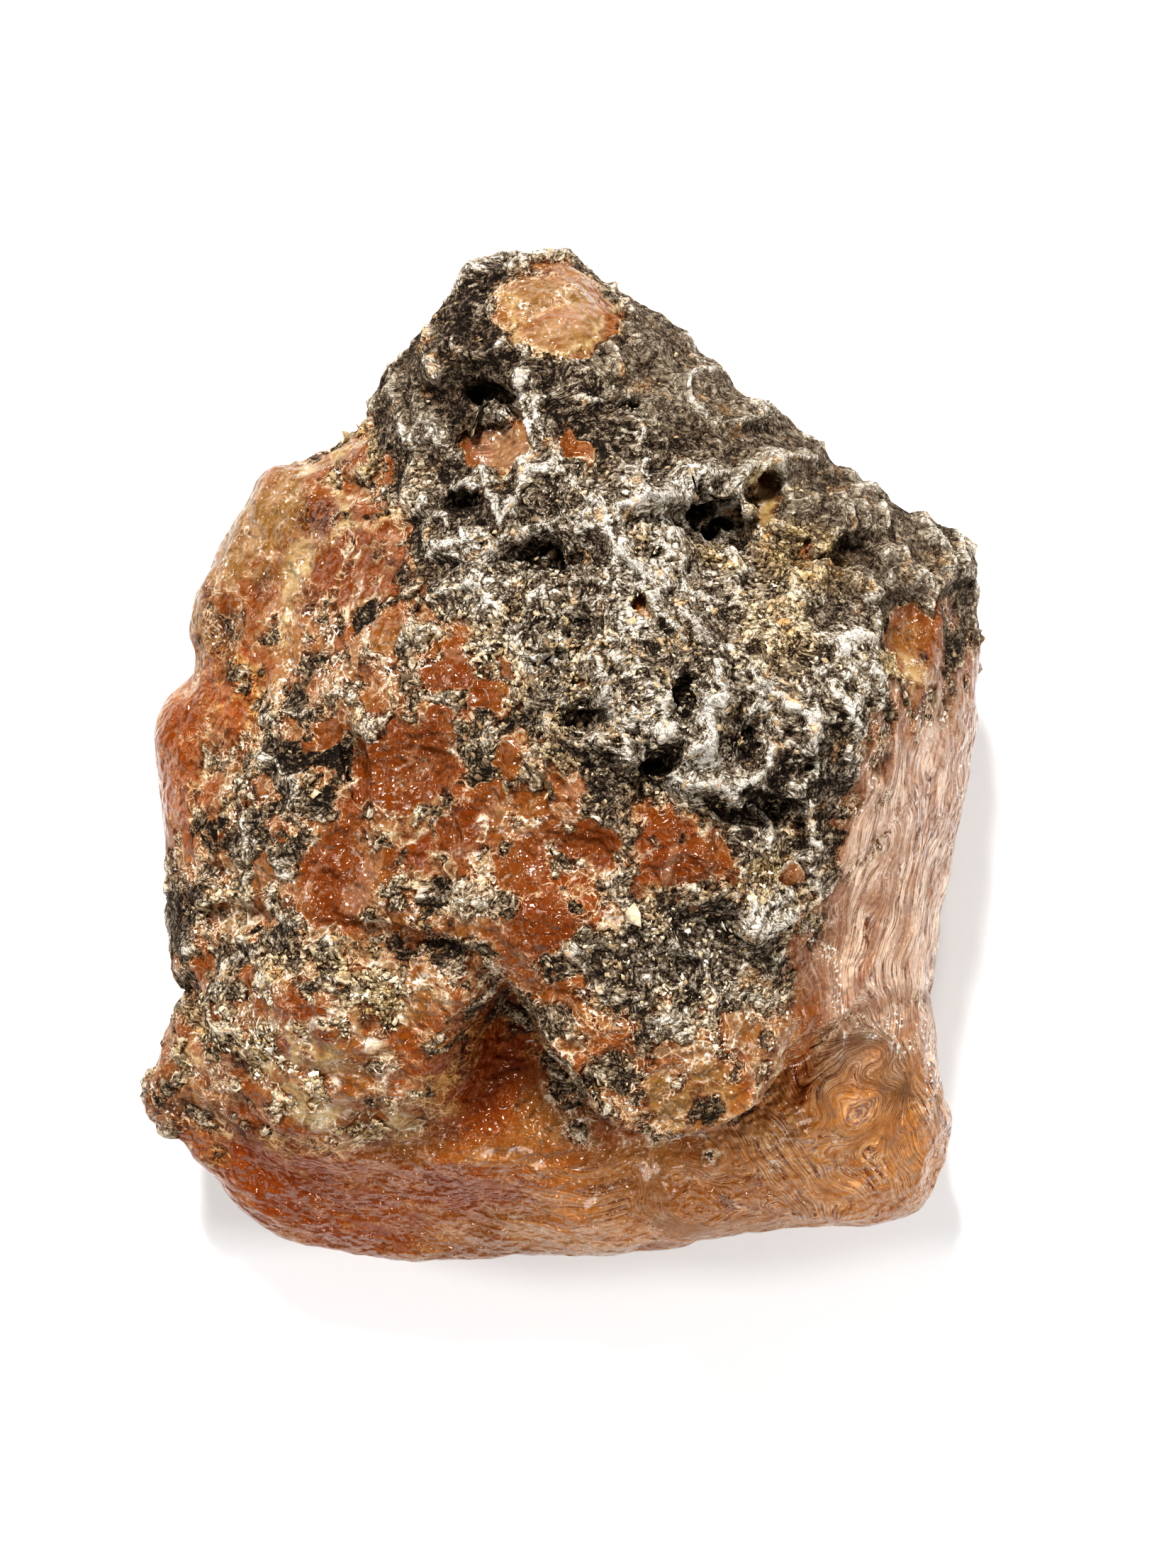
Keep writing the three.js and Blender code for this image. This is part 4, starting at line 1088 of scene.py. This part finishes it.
class Number:
    """A number that varies over a surface, kept as a shader socket."""

    def __init__(self, paint, socket):
        self.paint = paint
        self.socket = socket

    def __add__(self, other):
        return self.paint.maths("ADD", self, other)

    def __sub__(self, other):
        return self.paint.maths("SUBTRACT", self, other)

    def __rsub__(self, other):
        return self.paint.maths("SUBTRACT", other, self)

    def __mul__(self, other):
        return self.paint.maths("MULTIPLY", self, other)

    __radd__ = __add__
    __rmul__ = __mul__

    def size_only(self):
        return self.paint.maths("ABSOLUTE", self, 0)

    def ripples(self, count):
        """0 to 1 and back, so many times while the number goes from 0 to 1."""
        return self.paint.maths("SINE", self * (count * 2 * np.pi), 0) * 0.5 + 0.5

    def between(self, low, high):
        """0 at low, 1 at high, and an S curve between, in either direction."""
        settings = {"interpolation_type": "SMOOTHSTEP"}
        return self.paint.node("ShaderNodeMapRange", settings, {0: self, 1: low, 2: high})


class Paint:
    """One material's node tree, filled by Python expressions."""

    def __init__(self, name):
        self.material = bpy.data.materials.new(name)
        self.material.use_nodes = True
        self.tree = self.material.node_tree
        self.tree.nodes.clear()
        self.coords = self.node("ShaderNodeTexCoord", output="Object")

    def node(self, kind, settings=None, inputs=None, output=0):
        """Adds a node: its settings are set first, then its sockets' values or links."""
        node = self.tree.nodes.new(kind)
        for name, value in (settings or {}).items():
            if name == "stops":
                self._set_stops(node.color_ramp, value)
            else:
                setattr(node, name, value)
        for name, value in (inputs or {}).items():
            socket = self._input(node, name)
            if isinstance(value, Number):
                self.tree.links.new(value.socket, socket)
            else:
                socket.default_value = value
        return Number(self, node.outputs[output])

    @staticmethod
    def _input(node, name):
        if isinstance(name, int):
            return node.inputs[name]
        found = [socket for socket in node.inputs if socket.identifier == name]
        return found[0] if found else node.inputs[name]

    @staticmethod
    def _set_stops(ramp, stops):
        while len(ramp.elements) < len(stops):
            ramp.elements.new(1)
        for element, (place, colour) in zip(ramp.elements, stops):
            element.position = place
            element.color = (*colour, 1)

    def maths(self, operation, a, b):
        return self.node("ShaderNodeMath", {"operation": operation}, {0: a, 1: b})

    def mask(self, name):
        """A number stored on the mesh."""
        return self.node("ShaderNodeAttribute", {"attribute_name": name}, output="Fac")

    def warped(self, size, reach):
        """The object's coordinates pushed about by noise, in millimetres."""
        inputs = {"Vector": self.coords, "Scale": 1 / (size * MM), "Detail": 1.0}
        push = self.node("ShaderNodeTexNoise", inputs=inputs, output=1)
        far = (2 * reach * MM,) * 3
        return self.node(
            "ShaderNodeVectorMath", {"operation": "MULTIPLY_ADD"}, {0: push, 1: far, 2: self.coords}
        )

    def noise(self, size, detail=2.0, roughness=0.5, warp=0.0, place=None):
        """Noise with features of a given size in millimetres, from about 0 to 1."""
        inputs = {
            "Vector": place or self.coords, "Scale": 1 / (size * MM), "Detail": detail,
            "Roughness": roughness, "Distortion": warp,
        }
        return self.node("ShaderNodeTexNoise", {"normalize": True}, inputs)

    def scales(self, size):
        """Random cells of a given size in millimetres: a number from 0 to 1 for each, and the
        distance from its edge, as a share of the size."""
        inputs = {"Vector": self.warped(1.4, 0.6), "Scale": 1 / (size * MM)}
        each = self.node("ShaderNodeTexVoronoi", {"feature": "F1"}, inputs, output="Color")
        edge = self.node("ShaderNodeTexVoronoi", {"feature": "DISTANCE_TO_EDGE"}, inputs)
        return self.node("ShaderNodeSeparateColor", inputs={0: each}), edge

    def beside(self, name, along):
        """Coordinates that run at full speed across the lines along which a stored number is
        the same, and slowly along them."""
        across = self.node("ShaderNodeCombineXYZ", inputs={0: self.mask(name) * MM})
        inputs = {0: self.coords, 1: (along,) * 3, 2: across}
        return self.node("ShaderNodeVectorMath", {"operation": "MULTIPLY_ADD"}, inputs)

    def threads(self, noise, at, thin):
        """Thin winding lines, 1 on the line, where a noise crosses a value."""
        return (noise - at).size_only().between(thin, 0.0)

    def ramp(self, value, stops):
        """A colour between those of the stops, each a place from 0 to 1 and a colour."""
        return self.node("ShaderNodeValToRGB", {"stops": stops}, {0: value})

    def blend(self, share, first, second, mode="MIX"):
        """A colour between two colours."""
        inputs = {"Factor_Float": share, "A_Color": self.colour(first), "B_Color": self.colour(second)}
        return self.node(
            "ShaderNodeMix", {"data_type": "RGBA", "blend_type": mode}, inputs, output=2
        )

    def either(self, share, first, second):
        """A normal between two normals."""
        inputs = {"Factor_Float": share, "A_Vector": first, "B_Vector": second}
        return self.node("ShaderNodeMix", {"data_type": "VECTOR"}, inputs, output=1)

    @staticmethod
    def colour(value):
        return value if isinstance(value, Number) else (*value, 1)

    def layered(self, colour, layers, mode="MIX"):
        """A colour with layers laid over it in turn, each a share and a colour."""
        for share, tint in layers:
            colour = self.blend(share, colour, tint, mode)
        return colour

    def bump(self, height, depth, strength=1.0):
        """A normal tilted by a height, whose full range is a depth in millimetres."""
        inputs = {"Height": height, "Distance": depth * MM, "Strength": strength}
        return self.node("ShaderNodeBump", inputs=inputs)

    def principled(self, inputs):
        """The one shader that every surface uses."""
        return self.node("ShaderNodeBsdfPrincipled", inputs=inputs)

    def finish(self, surface, volume=None):
        """Joins the surface, and any volume, to the output, and gives the material."""
        output = self.tree.nodes.new("ShaderNodeOutputMaterial")
        self.tree.links.new(surface.socket, output.inputs["Surface"])
        if volume is not None:
            self.tree.links.new(volume.socket, output.inputs["Volume"])
        return self.material


def resin_marks(paint):
    """What varies over bare resin: the streaks that follow the flow lines and how strong they
    are, the fine grain, and how worn it is from 0 to 1."""
    streaks = paint.noise(0.8, 3, 0.65, place=paint.beside("flow_height", 0.1))
    drawn = paint.mask("face") + paint.mask("flow")
    fine = paint.noise(0.5, 4, 0.72, warp=1.2)
    worn = paint.mask("level").between(-0.7, -0.05)
    return streaks, drawn, fine, worn


# Tones of the chips in worn resin, from dark brown resin to frosted white.
CHIP_TONES = [
    (0.0, (0.05, 0.016, 0.005)), (0.25, (0.17, 0.055, 0.014)), (0.5, (0.27, 0.13, 0.05)),
    (0.72, (0.42, 0.31, 0.18)), (1.0, (0.84, 0.78, 0.68)),
]


def area_colour(paint, settings, streaks):
    """Each area's own colour of clouded resin, with frosting on the east face."""
    cloud, face = paint.mask("cloud"), paint.mask("face")
    frost = face * (0.6 * paint.mask("patch") + streaks).between(0.65, 1.0)
    return paint.layered(settings.resin_colour, [
        (cloud.between(0.35, 0.75), (0.34, 0.14, 0.028)),
        (paint.mask("tan") * cloud.between(0.25, 0.5), (0.3, 0.155, 0.04)),
        (paint.mask("flow") * 0.8, (0.66, 0.28, 0.06)),
        (paint.mask("red") * 0.85, (0.235, 0.055, 0.004)),
        (paint.mask("deep") * 0.9, (0.32, 0.085, 0.004)),
        (paint.mask("cream") * cloud.between(0.4, 0.6), (0.55, 0.4, 0.17)),
        (face * 0.85, (0.4, 0.23, 0.14)),
        (frost * 0.5, (0.74, 0.58, 0.46)),
    ])


def worn_colour(paint, colour, fine, worn):
    """The colour with chips and their frosted rims where the resin is worn, then darker and
    paler grain."""
    cloud, patch = paint.mask("cloud"), paint.mask("patch")
    chip, rim = paint.scales(1.5)
    tone = 0.02 + 0.6 * chip + 0.35 * (patch - 0.4) + 1.1 * (fine - 0.5)
    tone = tone + 0.15 * paint.mask("pale") + 0.3 * rim.between(0.08, 0.0)
    tone = tone - 0.22 * paint.mask("level").between(-0.22, -0.02)
    share = worn * (0.8 * tone + worn + 0.8 * (cloud - 0.5)).between(0.72, 0.86)
    colour = paint.blend(share, colour, paint.ramp(tone, CHIP_TONES))
    grain = 0.5 + 0.4 * (patch - 0.5) + (0.5 + 0.7 * worn) * (fine - 0.5)
    dim = grain.between(0.45, 0.15) * (0.35 + 0.55 * worn)
    colour = paint.blend(dim, colour, (0.42, 0.26, 0.15), "MULTIPLY")
    return paint.blend(grain.between(0.58, 0.9) * 0.6, colour, (0.68, 0.42, 0.22))


def flow_colour(paint, colour, streaks, drawn):
    """The colour with dark and light lines along the flow of the resin."""
    face = paint.mask("face")
    broken = drawn * (0.35 + 0.65 * paint.mask("patch").between(0.3, 0.65))
    shade = drawn * streaks.between(0.5, 0.36) * 0.5
    colour = paint.blend(shade, colour, (0.58, 0.36, 0.2), "MULTIPLY")
    rings = streaks.ripples(6)
    light, dark = rings.between(0.8, 0.95) * broken, rings.between(0.2, 0.05) * broken
    bright = paint.blend(face, (0.9, 0.56, 0.27), (0.92, 0.72, 0.55))
    colour = paint.blend(light * (0.65 - 0.2 * face), colour, bright)
    return paint.blend(dark * 0.95, colour, (0.28, 0.14, 0.06), "MULTIPLY")


def speck_and_glint_share(paint, worn):
    """Share of pale specks, partly frost and partly painted glints: on worn resin and round the edge of the
    east face.
    """
    patch, face = paint.mask("patch"), paint.mask("face")
    border = face.between(0.25, 0.5) * face.between(0.95, 0.7)
    # Where the specks lie: partly frost and partly painted glints.
    frosted = (0.3 + worn) * (paint.mask("cloud") + patch).between(0.9, 1.3)
    frosted = frosted * (1 - paint.mask("deep")) + border * patch.between(0.45, 0.7)
    return paint.noise(0.3, 1, 0.5).between(0.61, 0.65) * frosted


def resin_colour(paint, settings, marks):
    """Colour of the clouded resin at the surface: each area's own colour, chips and grain,
    flow lines, a pale veil that is partly a painted sheen, stains, veins, threads, specks that are
    partly frost and partly painted glints, and a deeper tone."""
    streaks, drawn, fine, worn = marks
    patch = paint.mask("patch")
    colour = worn_colour(paint, area_colour(paint, settings, streaks), fine, worn)
    colour = flow_colour(paint, colour, streaks, drawn)
    # A pale veil on clean resin, partly a painted sheen.
    veil_and_sheen = (1 - worn) * (0.2 * patch + streaks).between(0.66, 0.74)
    colour = paint.blend(veil_and_sheen * 0.22, colour, (0.78, 0.5, 0.32))
    stain = paint.mask("stain") * fine.between(0.42, 0.56)
    colour = paint.blend(stain, colour, (0.3, 0.17, 0.07), "MULTIPLY")
    vein = paint.mask("vein") * (0.15 + 0.75 * fine.between(0.42, 0.55))
    threads = paint.threads(paint.noise(0.9, 3, 0.65, warp=1.0), 0.5, 0.04)
    threads = threads * (0.18 + worn * patch.between(0.3, 0.6))
    colour = paint.layered(colour, [
        (vein, (0.58, 0.42, 0.2)),
        (threads * 0.8, (0.8, 0.62, 0.44)),
        # Pale specks, partly frost and partly painted glints.
        (speck_and_glint_share(paint, worn), (0.84, 0.78, 0.7)),
    ])
    return paint.blend(0.8 * paint.mask("deep"), colour, (0.92, 0.62, 0.2), "MULTIPLY")


def resin_normal(paint, marks):
    """Small waves, streaks and frosting of the resin's surface."""
    streaks, drawn, fine, worn = marks
    waves = paint.noise(0.8, 1, 0.5)
    return paint.bump(0.7 * waves + 0.25 * worn * fine + 0.45 * drawn * streaks, 1.0)


# Tones of the weathered crust, from its cracks to its frosted crests.
CRUST_TONES = [
    (0.0, (0.018, 0.012, 0.008)), (0.25, (0.095, 0.065, 0.041)), (0.5, (0.2, 0.158, 0.112)),
    (0.75, (0.36, 0.31, 0.24)), (1.0, (0.64, 0.59, 0.52)),
]


# How much each stored area lightens the crust, or darkens it where the shift is negative: the darkening in
# the hollows is a painted shade, and in the blackened areas it is partly one.
CRUST_SHIFTS = {"mellow": 0.1, "pale": 0.13, "cream": 0.1, "soot": -0.14, "hollow": -0.05}
# How standing out of its surroundings lightens the crust (frost on its crests, and partly a painted
# light) and how lying below them darkens it (a painted shade): the stored number, its full height,
# and the two shares.
CRUST_CAVITY_FROST_LIGHT_AND_SHADE = (("crest", 0.14, 0.26, 0.2), ("bulge", 0.7, 0.12, 0.2))
CRUST_MIDDLE_TONE = 0.46


def crust_tone(paint, value):
    """A tone made from a first value: lighter and darker by area and by relief, and evened
    out where the crust is mellow. High relief is lightened partly as frost and partly as a painted
    light. Low relief and hollows are darkened as a painted shade, and the blackened areas partly so."""
    cloud, patch, rise = paint.mask("cloud"), paint.mask("patch"), paint.mask("rise")
    # Lighter on high relief and darker on low relief: a painted light and a painted shade.
    value = value + 0.32 * rise.between(-0.6, 1.1) + 0.18 * rise.between(0.3, 0.7)
    value = value + 0.35 * (cloud - 0.5) + 0.35 * (patch - 0.5)
    value = value + 0.38 * paint.mask("spine") * patch.between(0.1, 0.6)
    for name, shift in CRUST_SHIFTS.items():
        value = value + shift * paint.mask(name)
    for name, reach, lift, drop in CRUST_CAVITY_FROST_LIGHT_AND_SHADE:
        stands = paint.mask(name)
        # Lighter where it stands out, partly a painted light; darker where it lies below, a painted shade.
        value = value + lift * stands.between(0.0, reach)
        value = value - drop * (0 - stands).between(0.0, reach)
    evened = 1 - 0.4 * paint.mask("mellow")
    return CRUST_MIDDLE_TONE + (value - CRUST_MIDDLE_TONE) * evened


def crust_look(paint):
    """Colour, roughness and normal of the weathered crust: finely cracked taupe and brown,
    frosted white along its crests (partly a painted light), dark in its cracks, and dark in its
    pits (a painted shade)."""
    fibres = paint.noise(0.3, 3, 0.7, place=paint.beside("weave_height", 0.7))
    bark = paint.noise(1.1, 3, 0.65, warp=1.0)
    cracks, edges = paint.threads(bark, 0.5, 0.05), paint.threads(bark, 0.59, 0.045)
    scale, rim = paint.scales(0.55)
    thin = paint.mask("level").between(0.45, 0.05)
    strands = 0.32 * fibres.between(0.42, 0.58) + 0.6 * fibres - 0.46
    value = 0.2 + 0.24 * scale + strands - 0.3 * rim.between(0.1, 0.0)
    value = value + 0.2 * edges - 0.35 * cracks + 0.06 * thin
    colour = paint.ramp(crust_tone(paint, value), CRUST_TONES)
    cream = paint.mask("cream") * (0.5 + 0.5 * scale.between(0.2, 0.7))
    rust = paint.mask("patch").between(0.6, 0.8) * scale.between(0.5, 0.9)
    stained = [
        (cream, (1.0, 0.85, 0.55)), (rust, (0.92, 0.7, 0.5)), (0.7 * thin, (1.0, 0.86, 0.68)),
    ]
    height = 0.3 * fibres + 0.08 * rim.between(0.0, 0.25) - 0.1 * cracks
    return paint.layered(colour, stained, "MULTIPLY"), 0.8 - 0.3 * cream, paint.bump(height, 1.0)


def opaque_shader(paint, colour, roughness, normal, gloss=0.0):
    """A skin with nothing clear in it, under a thin gloss of a given share."""
    return paint.principled({
        "Base Color": colour, "Roughness": roughness, "Normal": normal,
        "Specular IOR Level": SHEEN, "Coat Weight": gloss, "Coat Roughness": GLOSS_ROUGHNESS,
    })


# Tones of the loose scales, from brown bark to frosted shell.
FLAKE_TONES = [
    (0.0, (0.06, 0.036, 0.02)), (0.3, (0.2, 0.14, 0.085)), (0.5, (0.34, 0.25, 0.14)),
    (0.7, (0.5, 0.4, 0.26)), (0.85, (0.6, 0.54, 0.43)), (1.0, (0.82, 0.78, 0.7)),
]


def flake_material():
    """Thin brown, cream and white scales with a slight sheen."""
    paint = Paint("flakes")
    fine = paint.noise(0.3, 4, 0.7)
    value = 0.1 + 0.6 * paint.mask("tone") + 0.2 * paint.mask("pale") + 0.9 * (fine - 0.5)
    normal = paint.bump(fine, 0.12, 0.8)
    shader = opaque_shader(paint, paint.ramp(value, FLAKE_TONES), 0.5 + 0.3 * fine, normal)
    return paint.finish(shader)


def skin_look(paint, settings):
    """The opaque skin, resin and crust, with the share of crust, how worn the resin is
    and the resin's own normal."""
    marks = resin_marks(paint)
    worn = marks[-1]
    crust_colour, crust_roughness, crust_normal = crust_look(paint)
    normal = resin_normal(paint, marks)
    ragged = paint.mask("level") + 0.9 * (paint.noise(0.7, 3, 0.7) - 0.5)
    crust = ragged.between(-0.06, 0.03)
    colour = paint.blend(crust, resin_colour(paint, settings, marks), crust_colour)
    roughness = 0.08 + 0.67 * crust + 0.17 * worn * (1 - crust)
    gloss = (1 - crust) * (1 - worn) * (0.25 - 0.2 * paint.mask("face"))
    skin = opaque_shader(paint, colour, roughness, paint.either(crust, normal, crust_normal), gloss)
    return skin, crust, worn, normal


def crust_material(settings):
    """The skin with nothing clear in it, for the open rings of crust."""
    paint = Paint("crust")
    return paint.finish(skin_look(paint, settings)[0])


def copal_material(settings):
    """Clear amber resin under clouding, frosting and weathered crust."""
    paint = Paint("copal")
    skin, crust, worn, normal = skin_look(paint, settings)
    clear = paint.principled({
        "Base Color": (*settings.clear_colour, 1), "Normal": normal, "IOR": RESIN_IOR,
        "Roughness": 0.06 + 0.2 * worn, "Transmission Weight": 1.0,
        "Specular IOR Level": SHEEN,
    })
    clearness = (1 - crust) * (1 - 0.8 * worn) * (0.4 - 0.28 * paint.mask("face"))
    surface = paint.node("ShaderNodeMixShader", inputs={0: clearness, 1: skin, 2: clear})
    inputs = {"Color": AMBER, "Density": AMBER_DENSITY}
    amber = paint.node("ShaderNodeVolumeAbsorption", inputs=inputs)
    return paint.finish(surface, amber)


def floor_material():
    """Plain pale surface."""
    paint = Paint("pale_surface")
    return paint.finish(paint.principled({"Base Color": (0.9, 0.9, 0.9, 1), "Roughness": 0.7}))


# ---- Operators ------------------------------------------------------------------------------


class COPAL_OT_lump(bpy.types.Operator):
    """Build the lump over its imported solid"""

    bl_idname = "copal.lump"
    bl_label = "Build the lump"

    def execute(self, context):
        settings = context.scene.copal
        grid, masks = lump_surface(settings)
        vertices, flat = close_poles(grid, masks)
        vertices = vertices + place_on_solid()
        quads, triangles = skin_faces(*grid.shape[:2], len(vertices) - 2, len(vertices) - 1)
        mesh = mesh_from_arrays("lump", vertices, quads, triangles)
        for name, values in flat.items():
            add_number(mesh, name, values)
        lump = add_object("lump", mesh, copal_material(settings))
        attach(lump, ROOT)
        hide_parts(NODE)
        return {"FINISHED"}


class COPAL_OT_crust(bpy.types.Operator):
    """Lay the rings of crust on the lump"""

    bl_idname = "copal.crust"
    bl_label = "Lay the crust"

    def execute(self, context):
        settings = context.scene.copal
        move = place_on_solid()
        material = crust_material(settings)
        scales, tones, pales = [], [], []
        for name, meridians, first, last, rows in CRUST_RINGS:
            wanted = np.linspace(max(first, 0.5 * (last - first) / rows), last, rows)
            grid, masks = crust_surface(meridians, wanted, settings)
            used, quads = covered_faces(masks["level"])
            points = grid.reshape(-1, 3)[used] + move
            mesh = mesh_from_arrays(name, points, quads, np.zeros((0, 3), dtype=np.int64))
            for mask, values in masks.items():
                add_number(mesh, mask, values.ravel()[used])
            ring = add_object(name, mesh, material)
            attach(ring, ROOT)
            points, tone, pale = flake_surface(grid, masks, settings.flakes, settings)
            scales.append(points.reshape(-1, 3) + move)
            tones.append(tone)
            pales.append(pale)
        triangles = flake_faces(settings.flakes * len(CRUST_RINGS))
        mesh = mesh_from_arrays(
            "flakes", np.vstack(scales), np.zeros((0, 4), dtype=np.int64), triangles
        )
        add_number(mesh, "tone", np.concatenate(tones))
        add_number(mesh, "pale", np.concatenate(pales))
        flakes = add_object("flakes", mesh, flake_material())
        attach(flakes, ROOT)
        return {"FINISHED"}


def add_area_light(name, place, size, power):
    """A square soft light that faces the lump."""
    data = bpy.data.lights.new(name, "AREA")
    data.size = size
    data.energy = power
    light = bpy.data.objects.new(name, data)
    bpy.context.scene.collection.objects.link(light)
    light.location = place
    aim = -light.location
    light.rotation_euler = aim.to_track_quat("-Z", "Y").to_euler()


class COPAL_OT_stage(bpy.types.Operator):
    """Lay the plain floor, set the soft lights and place the camera"""

    bl_idname = "copal.stage"
    bl_label = "Build the stage"

    def execute(self, context):
        scene = context.scene
        half = FLOOR_HALF
        corners = [(-half, -half, 0), (half, -half, 0), (half, half, 0), (-half, half, 0)]
        mesh = bpy.data.meshes.new("floor")
        mesh.from_pydata(corners, [], [(0, 1, 2, 3)])
        floor = add_object("floor", mesh, floor_material())
        for light in LIGHTS:
            add_area_light(*light)
        world = bpy.data.worlds.new("studio")
        world.use_nodes = True
        sky = world.node_tree.nodes["Background"].inputs
        sky["Color"].default_value = (1, 1, 1, 1)
        sky["Strength"].default_value = WORLD_STRENGTH
        scene.world = world
        camera = bpy.data.cameras.new("camera")
        camera.sensor_fit = "VERTICAL"
        camera.sensor_height = SENSOR
        camera.lens = LENS
        camera.clip_start = 0.01
        eye = bpy.data.objects.new("camera", camera)
        eye.location = (CAMERA_OVER[0] * MM, CAMERA_OVER[1] * MM, CAMERA_HEIGHT * MM)
        scene.collection.objects.link(eye)
        scene.camera = eye
        scene.view_settings.view_transform = "Standard"
        scene.view_settings.look = "High Contrast"
        return {"FINISHED"}


class COPAL_PT_panel(bpy.types.Panel):
    """Lists the sizes, the colours and the steps"""

    bl_label = "Raw copal"
    bl_idname = "COPAL_PT_panel"
    bl_space_type = "VIEW_3D"
    bl_region_type = "UI"
    bl_category = "Copal"

    def draw(self, context):
        settings = context.scene.copal
        for name in settings.__annotations__:
            self.layout.prop(settings, name)
        for step in STEPS:
            self.layout.operator(step.bl_idname)


STEPS = (COPAL_OT_stage, COPAL_OT_lump, COPAL_OT_crust)
CLASSES = (CopalSettings, *STEPS, COPAL_PT_panel)


def register():
    for cls in CLASSES:
        bpy.utils.register_class(cls)
    bpy.types.Scene.copal = bpy.props.PointerProperty(type=CopalSettings)


def unregister():
    del bpy.types.Scene.copal
    for cls in reversed(CLASSES):
        bpy.utils.unregister_class(cls)


def main():
    """Builds everything."""
    register()
    bpy.ops.copal.stage()
    bpy.ops.copal.lump()
    bpy.ops.copal.crust()


if __name__ == "__main__":
    main()
